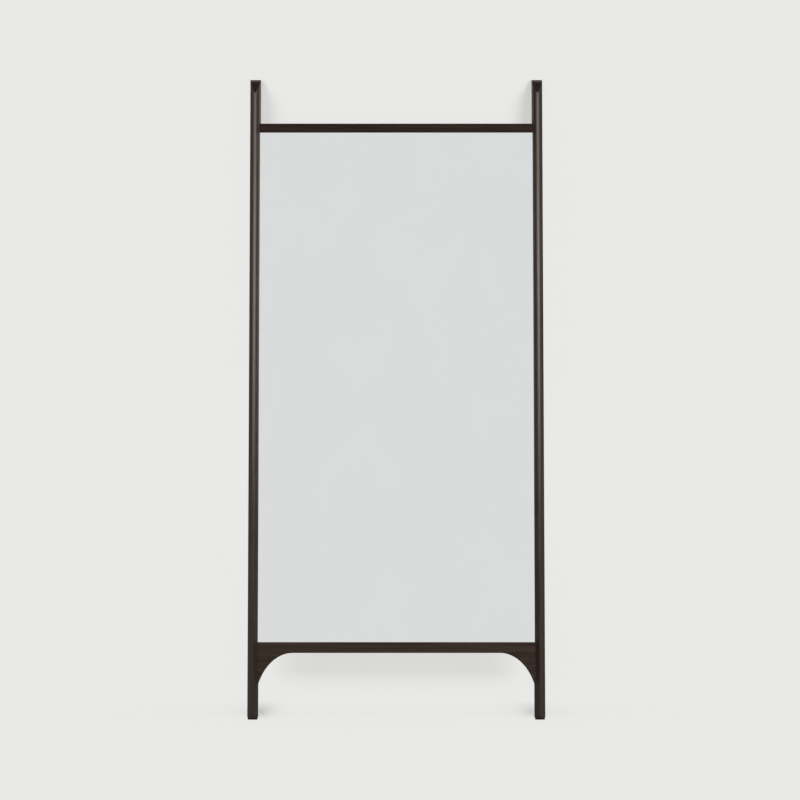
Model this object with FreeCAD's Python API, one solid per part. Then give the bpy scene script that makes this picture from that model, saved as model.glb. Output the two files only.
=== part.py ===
import FreeCAD, Part

import math
import os

from FreeCAD import Vector

# A tall mirror that stands on the floor and leans on a wall. Two ridged posts
# run from the floor to above a top rail. A lower rail with arched ends joins
# them near the floor. The glass lies in a rebate behind the front edges.
# All lengths are in millimetres and all angles in degrees.
# The frame is drawn upright, with the back faces of the posts at y = 0 and the
# front at negative y, and is then leaned back.

# Whole mirror
overall_height = 1800.0
overall_width = 830.0
lean_angle = 5.0

# Posts
post_width = 30.0
post_depth = 40.0
post_flat_side = 12.0
post_ridge_radius = 3.0
post_back_rounding = 2.0
post_top_land = 5.0
post_top_drop = 43.0
post_crown_radius = 8.0
wall_bevel_height = 45.0

# Rails
top_rail_height = 25.0
lower_rail_height = 30.0
rail_front_setback = 20.0
rail_back_setback = 2.0
rail_edge_radius = 2.5
rail_housing_margin = 0.7
top_rail_drop = 128.0
lower_rail_clearance = 183.0
arch_reach = 96.5
arch_drop = 86.0
arch_sweep = 66.0

# Loose tenons between the rails and the posts
tenon_thickness = 5.0
tenon_rail_depth = 20.0
top_tenon_height = 12.0
lower_tenon_height = 56.0
top_tenon_drop = 4.0
lower_tenon_drop = 10.0
mortise_wall = 7.0
tenon_clearance = 0.1
tenon_end_clearance = 1.0

# Mirror glass and its bedding
glass_thickness = 4.0
glass_recess = 15.0
glass_rebate_width = 8.0
glass_side_clearance = 2.0
glass_top_clearance = 2.0
glass_bottom_clearance = 3.0
glass_arris = 0.5
setting_block_length = 40.0
setting_block_inset = 190.0
spacer_length = 30.0
spacer_inset = 220.0
tape_width = 12.0
tape_thickness = 1.5

# Back panel and its screws
panel_thickness = 4.0
panel_rebate_width = 18.0
panel_clearance = 1.0
screws_per_post = 3
screws_per_rail = 2
screw_end_inset = 150.0
screw_length = 10.0
screw_shank_radius = 1.75
screw_head_radius = 3.5
screw_head_height = 2.0
screw_hole_clearance = 0.35
pilot_clearance = 0.05
pilot_end_clearance = 1.0

# Pads under the feet and against the wall
foot_pad_thickness = 4.0
foot_pad_width = 27.0
foot_pad_depth = 18.0
foot_pad_inset = 1.0
foot_pad_corner = 4.0
wall_pad_thickness = 1.5
wall_pad_width = 22.0
wall_pad_margin = 5.0
wall_pad_corner = 3.0

# Two lengths that differ by less than this count as the same
match_tolerance = 0.01

# Sizes that follow from the ones above
lean = math.radians(lean_angle)
post_half = post_width / 2
post_inner = overall_width / 2 - post_width
post_centre = overall_width / 2 - post_half
wall_bevel_depth = wall_bevel_height * math.tan(lean)
land_front = wall_bevel_depth + post_top_land
top_slope = math.atan2(post_top_drop, post_depth - land_front)
crown_start = land_front - post_crown_radius * math.tan(top_slope / 2)
crown_rise = overall_height - post_crown_radius - crown_start * math.sin(lean)
post_top = post_crown_radius + crown_rise / math.cos(lean)
post_foot = foot_pad_thickness / math.cos(lean)
ridge_run = post_depth - post_ridge_radius - post_flat_side
ridge_reach = math.hypot(post_half, ridge_run)
flank_turn = math.atan2(ridge_run, post_half) - math.acos(post_ridge_radius / ridge_reach)
rail_front = -(post_depth - rail_front_setback)
rail_back = -rail_back_setback
top_rail_top = post_top - top_rail_drop
top_rail_bottom = top_rail_top - top_rail_height
lower_rail_bottom = lower_rail_clearance
lower_rail_top = lower_rail_bottom + lower_rail_height
glass_front = -glass_recess
glass_back = glass_front + glass_thickness
panel_front = glass_back + tape_thickness
panel_back = panel_front + panel_thickness
screw_line = (glass_rebate_width + panel_rebate_width) / 2
tenon_middle = (rail_front + panel_front) / 2


def flank_half_width(depth_behind_front):
    """Half the width of a post on its sloping flank, at a depth behind its ridge."""
    rise = post_depth - post_flat_side - depth_behind_front
    return post_half + rise * math.tan(flank_turn)


rail_housing = post_half - flank_half_width(rail_front_setback) + rail_housing_margin
rail_end = post_inner + rail_housing
tenon_post_depth = post_width - rail_housing - mortise_wall - tenon_end_clearance

# The leaned frame is moved so that its box stands centred on the origin.
foot_front = post_foot * math.sin(lean) - post_depth * math.cos(lean)
wall_face = (post_top - wall_bevel_height) * math.sin(lean)
centring = -(foot_front + wall_face + wall_pad_thickness) / 2


def stand(shape):
    """Lean an upright shape back and move it to its place over the origin."""
    leaned = shape.copy()
    leaned.rotate(Vector(0, 0, 0), Vector(1, 0, 0), -lean_angle)
    leaned.translate(Vector(0, centring, 0))
    return leaned


def mirrored(shape):
    """The same shape on the other side of the mirror's middle plane."""
    return shape.mirror(Vector(0, 0, 0), Vector(1, 0, 0))


def block(x_range, y_range, z_range):
    """A box between two limits along each axis."""
    size = [high - low for low, high in (x_range, y_range, z_range)]
    return Part.makeBox(*size, Vector(x_range[0], y_range[0], z_range[0]))


def edges_where(shape, test):
    """The edges of a shape whose vertices all pass a test."""
    return [edge for edge in shape.Edges if all(test(vertex.Point) for vertex in edge.Vertexes)]


def near(value, target):
    """True when two lengths count as the same."""
    return abs(value - target) < match_tolerance


def carved(body, cutters):
    """The one solid that is left when the cutters are taken out of a body."""
    return body.cut(cutters).Solids[0]


def post_section():
    """The section of a post: flat back, straight sides and two slopes that meet in a rounded ridge."""
    back = post_back_rounding
    ridge_centre = Vector(0, -(post_depth - post_ridge_radius), 0)
    out = Vector(math.cos(flank_turn), math.sin(flank_turn), 0)

    def across(point):
        return Vector(-point.x, point.y, 0)

    side = Vector(post_half, -post_flat_side, 0)
    shoulder = ridge_centre + out * post_ridge_radius
    nose = Vector(0, -post_depth, 0)
    heel = Vector(post_half, -back, 0)
    heel_end = Vector(post_half - back, 0, 0)
    turn = back * (1 - math.cos(math.pi / 4))
    heel_middle = Vector(post_half - turn, -turn, 0)
    edges = [
        Part.LineSegment(heel, side),
        Part.LineSegment(side, shoulder),
        Part.Arc(shoulder, nose, across(shoulder)),
        Part.LineSegment(across(shoulder), across(side)),
        Part.LineSegment(across(side), across(heel)),
        Part.Arc(across(heel), across(heel_middle), across(heel_end)),
        Part.LineSegment(across(heel_end), heel_end),
        Part.Arc(heel_end, heel_middle, heel),
    ]
    return Part.Face(Part.Wire([edge.toShape() for edge in edges]))


def stadium(thickness, height):
    """A flat face with round ends, standing in the plane across the mirror's width."""
    radius = thickness / 2
    straight = height / 2 - radius
    front_low = Vector(0, -radius, -straight)
    front_high = Vector(0, -radius, straight)
    back_low = Vector(0, radius, -straight)
    back_high = Vector(0, radius, straight)
    edges = [
        Part.LineSegment(front_low, front_high),
        Part.Arc(front_high, Vector(0, 0, height / 2), back_high),
        Part.LineSegment(back_high, back_low),
        Part.Arc(back_low, Vector(0, 0, -height / 2), front_low),
    ]
    return Part.Face(Part.Wire([edge.toShape() for edge in edges]))


def screw():
    """A wood screw with its head upwards and its seat at z = 0."""
    outline = [
        Vector(0, 0, screw_head_height),
        Vector(screw_head_radius, 0, screw_head_height),
        Vector(screw_head_radius, 0, 0),
        Vector(screw_shank_radius, 0, 0),
        Vector(screw_shank_radius, 0, -screw_length),
        Vector(0, 0, -screw_length),
    ]
    profile = Part.Face(Part.makePolygon(outline + outline[:1]))
    return profile.revolve(Vector(0, 0, 0), Vector(0, 0, 1), 360)


def rail_blank(profile):
    """A rail cut from an outline across the width, with its long front edges rounded."""
    solid = profile.extrude(Vector(0, rail_back - rail_front, 0))

    def on_front(point):
        return near(point.y, rail_front)

    front_edges = edges_where(solid, on_front)
    long_edges = [edge for edge in front_edges if edge.BoundBox.XLength > lower_rail_height]
    return solid.makeFillet(rail_edge_radius, long_edges)


def top_rail_blank():
    """The straight top rail before its rebates and mortises."""
    corners = [(-rail_end, top_rail_bottom), (rail_end, top_rail_bottom),
               (rail_end, top_rail_top), (-rail_end, top_rail_top)]
    points = [Vector(x, rail_front, z) for x, z in corners]
    return rail_blank(Part.Face(Part.makePolygon(points + points[:1])))


def lower_rail_blank():
    """The lower rail, whose underside sweeps down to the posts in parts of an ellipse.

    Each sweep stops at the inner face of a post, and a short flat runs on into the housing.
    """
    sweep = math.radians(arch_sweep)
    half_width = arch_reach / math.sin(sweep)
    half_height = arch_drop / (1 - math.cos(sweep))
    start = post_inner - arch_reach
    middle = lower_rail_bottom - half_height
    tip = lower_rail_bottom - arch_drop
    edges = []
    for side in (1, -1):
        ellipse = Part.Ellipse(
            Vector(side * start, rail_front, middle + half_height),
            Vector(side * (start + half_width), rail_front, middle),
            Vector(side * start, rail_front, middle),
        )
        toe = Vector(side * post_inner, rail_front, tip)
        heel = Vector(side * rail_end, rail_front, tip)
        head = Vector(side * rail_end, rail_front, lower_rail_top)
        edges += [Part.ArcOfEllipse(ellipse, 0, sweep), Part.LineSegment(toe, heel), Part.LineSegment(heel, head)]
    for reach, height in ((start, lower_rail_bottom), (rail_end, lower_rail_top)):
        left = Vector(-reach, rail_front, height)
        right = Vector(reach, rail_front, height)
        edges.append(Part.LineSegment(left, right))
    outline = Part.__sortEdges__([edge.toShape() for edge in edges])
    return rail_blank(Part.Face(Part.Wire(outline)))


def tenon(height, top, clearance=0.0, end_clearance=0.0):
    """A loose tenon between the right-hand post and a rail, or its mortise when given clearances."""
    inner = rail_end - tenon_rail_depth - end_clearance
    outer = rail_end + tenon_post_depth + end_clearance
    face = stadium(tenon_thickness + 2 * clearance, height + 2 * clearance)
    face.translate(Vector(inner, tenon_middle, top - height / 2))
    return face.extrude(Vector(outer - inner, 0, 0))


def top_tenon(clearance=0.0, end_clearance=0.0):
    """The tenon at the right-hand end of the top rail."""
    return tenon(top_tenon_height, top_rail_top - top_tenon_drop, clearance, end_clearance)


def lower_tenon(clearance=0.0, end_clearance=0.0):
    """The taller tenon at the right-hand end of the lower rail."""
    return tenon(lower_tenon_height, lower_rail_top - lower_tenon_drop, clearance, end_clearance)


def mortises():
    """The spaces for the four tenons."""
    right = [make(tenon_clearance, tenon_end_clearance) for make in (top_tenon, lower_tenon)]
    return right + [mirrored(shape) for shape in right]


def glazing_space():
    """The stepped space behind the front edges that takes the glass and the back panel."""
    steps = []
    for reach, front in ((glass_rebate_width, glass_front), (panel_rebate_width, panel_front)):
        side = post_inner + reach
        heights = (lower_rail_top - reach, top_rail_bottom + reach)
        steps.append(block((-side, side), (front, 0), heights))
    return steps


def spread(count, low, high):
    """Evenly spaced places from one limit to the other."""
    return [low + (high - low) * index / (count - 1) for index in range(count)]


def panel_screw_places():
    """Where the screws of the back panel stand, on a line round its edge."""
    side = post_inner + screw_line
    low = lower_rail_top - screw_line
    high = top_rail_bottom + screw_line
    heights = spread(screws_per_post, low + screw_end_inset, high - screw_end_inset)
    widths = spread(screws_per_rail, -side + screw_end_inset, side - screw_end_inset)
    on_posts = [(x, z) for x in (-side, side) for z in heights]
    on_rails = [(x, z) for x in widths for z in (low, high)]
    return on_posts + on_rails


def rod_backwards(radius, x, z, front, back):
    """A round rod that runs from front to back."""
    return Part.makeCylinder(radius, back - front, Vector(x, front, z), Vector(0, 1, 0))


def panel_pilots():
    """The pilot holes for the back panel's screws."""
    deep = panel_back - screw_length - pilot_end_clearance
    radius = screw_shank_radius + pilot_clearance
    return [rod_backwards(radius, x, z, deep, panel_back) for x, z in panel_screw_places()]


def above_post():
    """All that is cut from the top of a post to leave a level land, a round crown and a sloping front."""
    far = 2 * post_depth
    middle = Vector(post_inner - post_half, -crown_start, post_top - post_crown_radius)

    def at(y, z):
        return Vector(middle.x, y, z)

    def on_crown(angle):
        return middle + Vector(0, -math.sin(angle), math.cos(angle)) * post_crown_radius

    low_end = at(-far, post_top - (far - land_front) * math.tan(top_slope))
    outline = [low_end, at(-far, post_top + far), at(far, post_top + far), at(far, post_top), on_crown(0)]
    edges = [Part.LineSegment(*pair).toShape() for pair in zip(outline, outline[1:])]
    edges.append(Part.Arc(on_crown(0), on_crown(top_slope / 2), on_crown(top_slope)).toShape())
    edges.append(Part.LineSegment(on_crown(top_slope), low_end).toShape())
    return Part.Face(Part.Wire(edges)).extrude(Vector(2 * post_width, 0, 0))


def right_post(housed):
    """The right-hand post with its sloping top, rebates, housings, mortises and cut ends."""
    section = post_section()
    section.translate(Vector(post_centre, 0, post_foot))
    blank = carved(section.extrude(Vector(0, 0, post_top)), above_post())
    post = stand(carved(blank, glazing_space() + housed + mortises() + panel_pilots()))
    reach = (post_inner - post_width, overall_width)
    wall = wall_face + centring
    behind = block(reach, (wall, wall + overall_height), (0, 2 * overall_height))
    return carved(post, behind)


def rail(blank):
    """A finished rail: the blank with its rebates, mortises and pilot holes."""
    return stand(carved(blank, glazing_space() + mortises() + panel_pilots()))


def glass_limits():
    """Half the width of the glass, and the heights of its lower and upper edges."""
    half = post_inner + glass_rebate_width - glass_side_clearance
    low = lower_rail_top - glass_rebate_width + glass_bottom_clearance
    high = top_rail_bottom + glass_rebate_width - glass_top_clearance
    return half, low, high


def mirror_glass():
    """The silvered glass sheet with its ground arrises."""
    half, low, high = glass_limits()
    sheet = block((-half, half), (glass_front, glass_back), (low, high))
    return stand(sheet.makeChamfer(glass_arris, sheet.Edges))


def right_setting_block():
    """One of the two blocks in the lower rail that carry the weight of the glass."""
    half, low, _ = glass_limits()
    outer = half - setting_block_inset
    length = (outer - setting_block_length, outer)
    return stand(block(length, (glass_front, glass_back), (low - glass_bottom_clearance, low)))


def right_spacer(middle):
    """One of the blocks that keep the glass centred between the posts, at a height."""
    half = glass_limits()[0]
    heights = (middle - spacer_length / 2, middle + spacer_length / 2)
    return stand(block((half, half + glass_side_clearance), (glass_front, glass_back), heights))


def right_cushion_tape():
    """The foam strip between the right-hand edge of the glass and the back panel."""
    half, low, high = glass_limits()
    return stand(block((half - tape_width, half), (glass_back, panel_front), (low, high)))


def level_cushion_tape(low):
    """A foam strip between the upright ones, from a height upwards."""
    half = glass_limits()[0] - tape_width
    return stand(block((-half, half), (glass_back, panel_front), (low, low + tape_width)))


def back_panel():
    """The sheet that closes the back, with a clearance hole for each screw."""
    reach = panel_rebate_width - panel_clearance
    half = post_inner + reach
    heights = (lower_rail_top - reach, top_rail_bottom + reach)
    sheet = block((-half, half), (panel_front, panel_back), heights)
    radius = screw_shank_radius + screw_hole_clearance
    holes = [rod_backwards(radius, x, z, panel_front, panel_back) for x, z in panel_screw_places()]
    return stand(carved(sheet, holes))


def back_panel_screws():
    """The screws that hold the back panel."""
    pattern = screw()
    pattern.rotate(Vector(0, 0, 0), Vector(1, 0, 0), -90)
    screws = []
    for x, z in panel_screw_places():
        placed = pattern.copy()
        placed.translate(Vector(x, panel_back, z))
        screws.append(placed)
    return stand(Part.makeCompound(screws))


def right_foot_pad():
    """The rubber wedge under the wide part of the right-hand foot, with its sole flat on the floor."""
    width = (post_centre - foot_pad_width / 2, post_centre + foot_pad_width / 2)
    depth = (-foot_pad_inset - foot_pad_depth, -foot_pad_inset)
    pad = block(width, depth, (-post_depth, post_foot))
    corners = [edge for edge in pad.Edges if edge.BoundBox.ZLength > post_depth]
    floor = block((0, overall_width), (-overall_height, overall_height), (-overall_height, 0))
    return carved(stand(pad.makeFillet(foot_pad_corner, corners)), floor)


def right_wall_pad():
    """The felt pad on the bevel at the top of the right-hand post."""
    face = wall_face + centring
    low = (post_top - wall_bevel_height) * math.cos(lean) + wall_pad_margin
    high = overall_height - wall_pad_margin
    width = (post_centre - wall_pad_width / 2, post_centre + wall_pad_width / 2)
    pad = block(width, (face, face + wall_pad_thickness), (low, high))
    corners = [edge for edge in pad.Edges if near(edge.Length, wall_pad_thickness)]
    return pad.makeChamfer(wall_pad_corner, corners)


def build():
    """Every piece of the mirror by name."""
    _, low, high = glass_limits()
    top_blank = top_rail_blank()
    lower_blank = lower_rail_blank()
    pieces = {
        "top_rail": rail(top_blank),
        "lower_rail": rail(lower_blank),
        "mirror_glass": mirror_glass(),
        "top_cushion_tape": level_cushion_tape(high - tape_width),
        "lower_cushion_tape": level_cushion_tape(low),
        "back_panel": back_panel(),
        "back_panel_screws": back_panel_screws(),
    }
    pairs = {
        "post": right_post([top_blank, lower_blank]),
        "top_tenon": stand(top_tenon()),
        "lower_tenon": stand(lower_tenon()),
        "setting_block": right_setting_block(),
        "lower_spacer": right_spacer(low + spacer_inset),
        "upper_spacer": right_spacer(high - spacer_inset),
        "cushion_tape": right_cushion_tape(),
        "foot_pad": right_foot_pad(),
        "wall_pad": right_wall_pad(),
    }
    for name, shape in pairs.items():
        pieces["right_" + name] = shape
        pieces["left_" + name] = mirrored(shape)
    return pieces


os.makedirs("parts", exist_ok=True)
for name, shape in build().items():
    shape.exportStep(os.path.join("parts", name + ".step"))
    print(name, len(shape.Solids), "solids,", round(shape.Volume), "mm3, valid:", shape.isValid())
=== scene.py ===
import logging
import math
from dataclasses import dataclass, field
from enum import Enum
from typing import Callable, Iterable, Sequence

import bmesh
import bpy
from mathutils import Matrix, Vector, noise


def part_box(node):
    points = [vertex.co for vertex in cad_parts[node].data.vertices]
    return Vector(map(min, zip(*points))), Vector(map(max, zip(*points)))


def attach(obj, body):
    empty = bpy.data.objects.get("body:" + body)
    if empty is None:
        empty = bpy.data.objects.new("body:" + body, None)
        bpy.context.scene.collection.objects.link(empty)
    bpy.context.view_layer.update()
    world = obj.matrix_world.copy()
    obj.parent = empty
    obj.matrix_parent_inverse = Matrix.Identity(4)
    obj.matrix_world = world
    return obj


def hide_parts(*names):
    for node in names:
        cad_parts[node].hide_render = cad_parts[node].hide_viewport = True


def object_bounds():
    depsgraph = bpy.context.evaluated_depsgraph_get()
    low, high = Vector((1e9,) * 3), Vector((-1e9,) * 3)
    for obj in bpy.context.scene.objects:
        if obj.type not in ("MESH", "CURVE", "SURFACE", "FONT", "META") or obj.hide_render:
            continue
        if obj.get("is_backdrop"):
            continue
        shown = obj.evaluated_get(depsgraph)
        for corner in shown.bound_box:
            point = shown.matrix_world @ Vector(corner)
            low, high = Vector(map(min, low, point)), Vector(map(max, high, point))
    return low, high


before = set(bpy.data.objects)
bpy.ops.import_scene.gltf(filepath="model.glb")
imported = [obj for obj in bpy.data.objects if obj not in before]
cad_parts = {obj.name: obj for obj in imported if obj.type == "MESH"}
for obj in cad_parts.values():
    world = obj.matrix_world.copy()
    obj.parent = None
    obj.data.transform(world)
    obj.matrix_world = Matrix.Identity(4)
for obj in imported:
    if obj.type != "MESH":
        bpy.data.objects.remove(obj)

# The looks of a tall mirror in a dark wooden frame that leans on a wall.
# Lengths are in metres. Pieces are drawn upright, with the backs of the posts at
# y = 0 and the front at negative y, and are then leaned back into the CAD frame.

MM = 0.001
QUARTER = math.pi / 2
CIRCLE = 2 * math.pi
WELD = 1e-7
TINY = 1e-9
BODY = "root"
LOG = logging.getLogger("floor_mirror")

Point = tuple[float, float, float]
Flat = tuple[float, float]
Range = tuple[float, float]
Colour = tuple[float, float, float]
Piece = bpy.types.Object
Finish = bpy.types.Material
Socket = bpy.types.NodeSocket
Corner = bmesh.types.BMVert

LEVEL: Point = (0.0, 0.0, 0.0)
PALE_BOARD: Colour = (1.65, 1.87, 1.75)


class Side(Enum):
    """The two sides of the mirror, by the sign of x."""

    RIGHT = 1
    LEFT = -1

    @property
    def label(self) -> str:
        """The word that starts the names of this side's pieces."""
        return self.name.lower()


class Grain(Enum):
    """The way the fibres of a wooden piece run."""

    ALONG_POST = 0
    ALONG_RAIL = 1


class GlassPart(Enum):
    """The parts of the glass that have a finish each, in the order of its materials."""

    EDGE = 0
    FRONT = 1
    BACK = 2


@dataclass(frozen=True)
class FrameSizes:
    """Driving sizes of the wooden frame, and the sizes that follow from them."""

    height: float
    width: float
    lean: float = math.radians(5.0)
    post_width: float = 30 * MM
    post_depth: float = 40 * MM
    flat_side: float = 12 * MM
    ridge_radius: float = 3 * MM
    heel_radius: float = 2 * MM
    top_land: float = 5 * MM
    top_drop: float = 43 * MM
    crown_radius: float = 8 * MM
    bevel_height: float = 45 * MM
    top_rail_height: float = 25 * MM
    lower_rail_height: float = 30 * MM
    rail_setback: float = 20 * MM
    rail_back: float = -2 * MM
    top_rail_drop: float = 128 * MM
    lower_rail_clearance: float = 183 * MM
    glass_front: float = -15 * MM
    glass_back: float = -11 * MM
    panel_front: float = -9.5 * MM
    panel_back: float = -5.5 * MM
    glass_rebate: float = 8 * MM
    panel_rebate: float = 18 * MM
    foot_pad: float = 4 * MM
    wall_pad: float = 1.5 * MM

    @property
    def half(self) -> float:
        """Half the width of a post."""
        return self.post_width / 2

    @property
    def inner(self) -> float:
        """Distance from the middle to the inner face of a post."""
        return self.width / 2 - self.post_width

    @property
    def centre(self) -> float:
        """Distance from the middle to the middle of a post."""
        return self.width / 2 - self.half

    @property
    def bevel_depth(self) -> float:
        """How far the wall bevel cuts into the top of a post."""
        return self.bevel_height * math.tan(self.lean)

    @property
    def land_front(self) -> float:
        """Depth of the front edge of the flat land on top of a post."""
        return self.bevel_depth + self.top_land

    @property
    def top_slope(self) -> float:
        """Fall of the sloping top of a post, as an angle."""
        return math.atan2(self.top_drop, self.post_depth - self.land_front)

    @property
    def crown_start(self) -> float:
        """Depth at which the land on top of a post turns into its round crown."""
        return self.land_front - self.crown_radius * math.tan(self.top_slope / 2)

    @property
    def post_top(self) -> float:
        """Length along a post from the origin to its top."""
        rise = self.height - self.crown_radius - self.crown_start * math.sin(self.lean)
        return self.crown_radius + rise / math.cos(self.lean)

    @property
    def post_foot(self) -> float:
        """Length along a post from the origin to its sawn foot."""
        return self.foot_pad / math.cos(self.lean)

    @property
    def flank_turn(self) -> float:
        """The way that a flank faces.

        Returns:
            Angle of its outward direction from sideways, negative towards the front.
        """
        run = self.post_depth - self.ridge_radius - self.flat_side
        reach = math.hypot(self.half, run)
        return math.atan2(run, self.half) - math.acos(self.ridge_radius / reach)

    @property
    def rail_front(self) -> float:
        """Depth of the front faces of the rails."""
        return -(self.post_depth - self.rail_setback)

    @property
    def top_rail(self) -> Range:
        """Heights of the lower and upper edges of the top rail."""
        top = self.post_top - self.top_rail_drop
        return top - self.top_rail_height, top

    @property
    def lower_rail(self) -> Range:
        """Heights of the lower and upper edges of the lower rail between its arches."""
        return self.lower_rail_clearance, self.lower_rail_clearance + self.lower_rail_height

    @property
    def wall_face(self) -> float:
        """Depth of the plane of the wall bevels, before the frame is centred."""
        return (self.post_top - self.bevel_height) * math.sin(self.lean)

    @property
    def centring(self) -> float:
        """How far the leaned frame is moved so that its box stands over the origin."""
        front = self.post_foot * math.sin(self.lean) - self.post_depth * math.cos(self.lean)
        return -(front + self.wall_face + self.wall_pad) / 2

    def opening(self, reach: float) -> Range:
        """Heights of the opening between the rails, made larger by a reach at both ends."""
        return self.lower_rail[1] - reach, self.top_rail[0] + reach

    def flank_x(self, y: float) -> float:
        """Distance from the middle to the inner surface of a post at a depth.

        Args:
            y: depth, negative towards the front.

        Returns:
            The distance, which grows towards the ridge where the flank falls away.
        """
        rise = max(0.0, -y - self.flat_side)
        return self.centre - self.half - rise * math.tan(self.flank_turn)

    def leaned(self, point: Point) -> Vector:
        """A point of the upright drawing at its place in the leaned frame.

        Args:
            point: x across, y in depth and height along the posts.

        Returns:
            The point in the frame that the CAD model uses.
        """
        x, y, s = point
        cos, sin = math.cos(self.lean), math.sin(self.lean)
        return Vector((x, y * cos + s * sin + self.centring, s * cos - y * sin))


def shares(steps: int) -> list[float]:
    """Even shares from 0 to 1, one more than there are steps."""
    return [index / steps for index in range(steps + 1)]


def arc(centre: Flat, radius: float, start: float, end: float, steps: int) -> list[tuple[Flat, Flat]]:
    """Points along an arc, without its last one.

    Args:
        centre: middle of the arc.
        radius: its size.
        start: angle of its first point.
        end: angle at which it stops.
        steps: number of points.

    Returns:
        The points with their outward directions.
    """
    points = []
    for index in range(steps):
        turn = start + (end - start) * index / steps
        way = (math.cos(turn), math.sin(turn))
        points.append(((centre[0] + radius * way[0], centre[1] + radius * way[1]), way))
    return points


def rounded_step(radius: float, steps: int) -> list[Flat]:
    """Inset and drop of each row of a quarter round, from the wall to the cap.

    Args:
        radius: size of the round.
        steps: number of strips that make it up.

    Returns:
        One pair of inset and drop for each row.
    """
    turns = [QUARTER * index / steps for index in range(steps + 1)]
    return [(radius * (1 - math.cos(turn)), radius * (1 - math.sin(turn))) for turn in turns]


def follow(stops: Sequence[Flat], value: float) -> float:
    """A share that runs straight from stop to stop.

    Args:
        stops: pairs of a value and the share there, in rising order.
        value: where the share is wanted.

    Returns:
        The share, which stays the same beyond the first and the last stop.
    """
    for (low, first), (high, second) in zip(stops, stops[1:]):
        if value < high:
            return first + (second - first) * max(0.0, value - low) / (high - low)
    return stops[-1][1]


def within(value: float, start: float, end: float) -> float:
    """The share of the way from a start to an end, kept between 0 and 1."""
    return min(1.0, max(0.0, (value - start) / (end - start)))


def soft_min(first: float, second: float, blend: float) -> float:
    """The lower of two heights, with the corner between them rounded.

    Args:
        first: one height.
        second: the other height.
        blend: difference in height within which the corner is rounded.

    Returns:
        The rounded lower height.
    """
    share = max(blend - abs(first - second), 0.0) / blend
    return min(first, second) - share * share * blend / 4


class Shaper:
    """Gathers the faces of one piece and turns them into an object in the scene."""

    def __init__(self, name: str) -> None:
        """Start an empty mesh for a piece of that name."""
        self.name = name
        self.mesh = bmesh.new()

    def row(self, points: Iterable[Point | Vector]) -> list[Corner]:
        """Add one vertex for each point and return them in order."""
        return [self.mesh.verts.new(point) for point in points]

    def face(self, corners: Sequence[Corner]) -> None:
        """Add a face unless two of its corners are the same vertex."""
        if len(set(corners)) == len(corners):
            self.mesh.faces.new(corners)

    def bridge(self, first: Sequence[Corner], second: Sequence[Corner], closed: bool = True) -> None:
        """Join two rows of vertices with a strip of four-sided faces.

        Args:
            first: vertices of one row.
            second: as many vertices of the next row.
            closed: whether the rows are rings.
        """
        count = len(first)
        for index in range(count if closed else count - 1):
            after = (index + 1) % count
            self.face([first[index], first[after], second[after], second[index]])

    def loft(self, rows: Sequence[Sequence[Corner]], closed: bool = True, capped: bool = True) -> None:
        """Join rows of vertices one after the other.

        Args:
            rows: the rows in order, with as many vertices each.
            closed: whether the rows are rings.
            capped: whether the first and the last row are filled with a face each.
        """
        for first, second in zip(rows, rows[1:]):
            self.bridge(first, second, closed)
        if capped:
            self.face(rows[0])
            self.face(rows[-1])

    def block(self, x: Range, y: Range, z: Range, radius: float, segments: int = 2) -> None:
        """Add a block with rounded edges.

        Args:
            x: limits across.
            y: limits in depth.
            z: limits in height.
            radius: size of the round on every edge.
            segments: strips in each round.
        """
        size = Vector((x[1] - x[0], y[1] - y[0], z[1] - z[0]))
        middle = Vector((sum(x) / 2, sum(y) / 2, sum(z) / 2))
        place = Matrix.Translation(middle) @ Matrix.Diagonal(size.to_4d())
        made = bmesh.ops.create_cube(self.mesh, size=1.0, matrix=place)
        edges = {edge for vertex in made["verts"] for edge in vertex.link_edges}
        bmesh.ops.bevel(self.mesh, geom=list(edges), offset=radius, offset_type="OFFSET",
                        segments=segments, profile=0.5, affect="EDGES", clamp_overlap=True)

    def piece(self, place: Callable[[Point], Vector] | None = None, side: Side = Side.RIGHT) -> Piece:
        """Close the mesh and make it an object.

        Args:
            place: gives a drawn point its place in the frame; without it, points stay where they are.
            side: which side of the mirror the piece is on. The left one is mirrored.

        Returns:
            The new object.
        """
        if place:
            for vertex in self.mesh.verts:
                x, y, z = vertex.co
                vertex.co = place((x * side.value, y, z))
        bmesh.ops.remove_doubles(self.mesh, verts=self.mesh.verts, dist=WELD)
        bmesh.ops.recalc_face_normals(self.mesh, faces=self.mesh.faces)
        data = bpy.data.meshes.new(self.name)
        self.mesh.to_mesh(data)
        self.mesh.free()
        made = bpy.data.objects.new(self.name, data)
        bpy.context.scene.collection.objects.link(made)
        return made


def settle_modifiers(piece: Piece) -> None:
    """Replace a piece's mesh by the one that its modifiers give, and drop the modifiers.

    Args:
        piece: the piece with its modifiers.
    """
    seen = piece.evaluated_get(bpy.context.evaluated_depsgraph_get())
    data = bpy.data.meshes.new_from_object(seen)
    piece.modifiers.clear()
    piece.data = data
    data.name = piece.name


def carve(piece: Piece, cutters: Sequence[Piece]) -> None:
    """Take the cutters out of a piece.

    Args:
        piece: what is cut.
        cutters: closed meshes, which are deleted afterwards.
    """
    for cutter in cutters:
        cut = piece.modifiers.new("cut", "BOOLEAN")
        cut.operation = "DIFFERENCE"
        cut.solver = "EXACT"
        cut.object = cutter
    settle_modifiers(piece)
    for cutter in cutters:
        bpy.data.objects.remove(cutter)


def ease(piece: Piece, radius: float, angle: float, segments: int = 2) -> None:
    """Round the edges of a piece that are sharper than an angle.

    Args:
        piece: what is eased.
        radius: width of the round.
        angle: least turn of an edge that is rounded, in degrees.
        segments: strips in each round.
    """
    bevel = piece.modifiers.new("ease", "BEVEL")
    bevel.width = radius
    bevel.segments = segments
    bevel.limit_method = "ANGLE"
    bevel.angle_limit = math.radians(angle)
    bevel.harden_normals = False
    settle_modifiers(piece)


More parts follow.
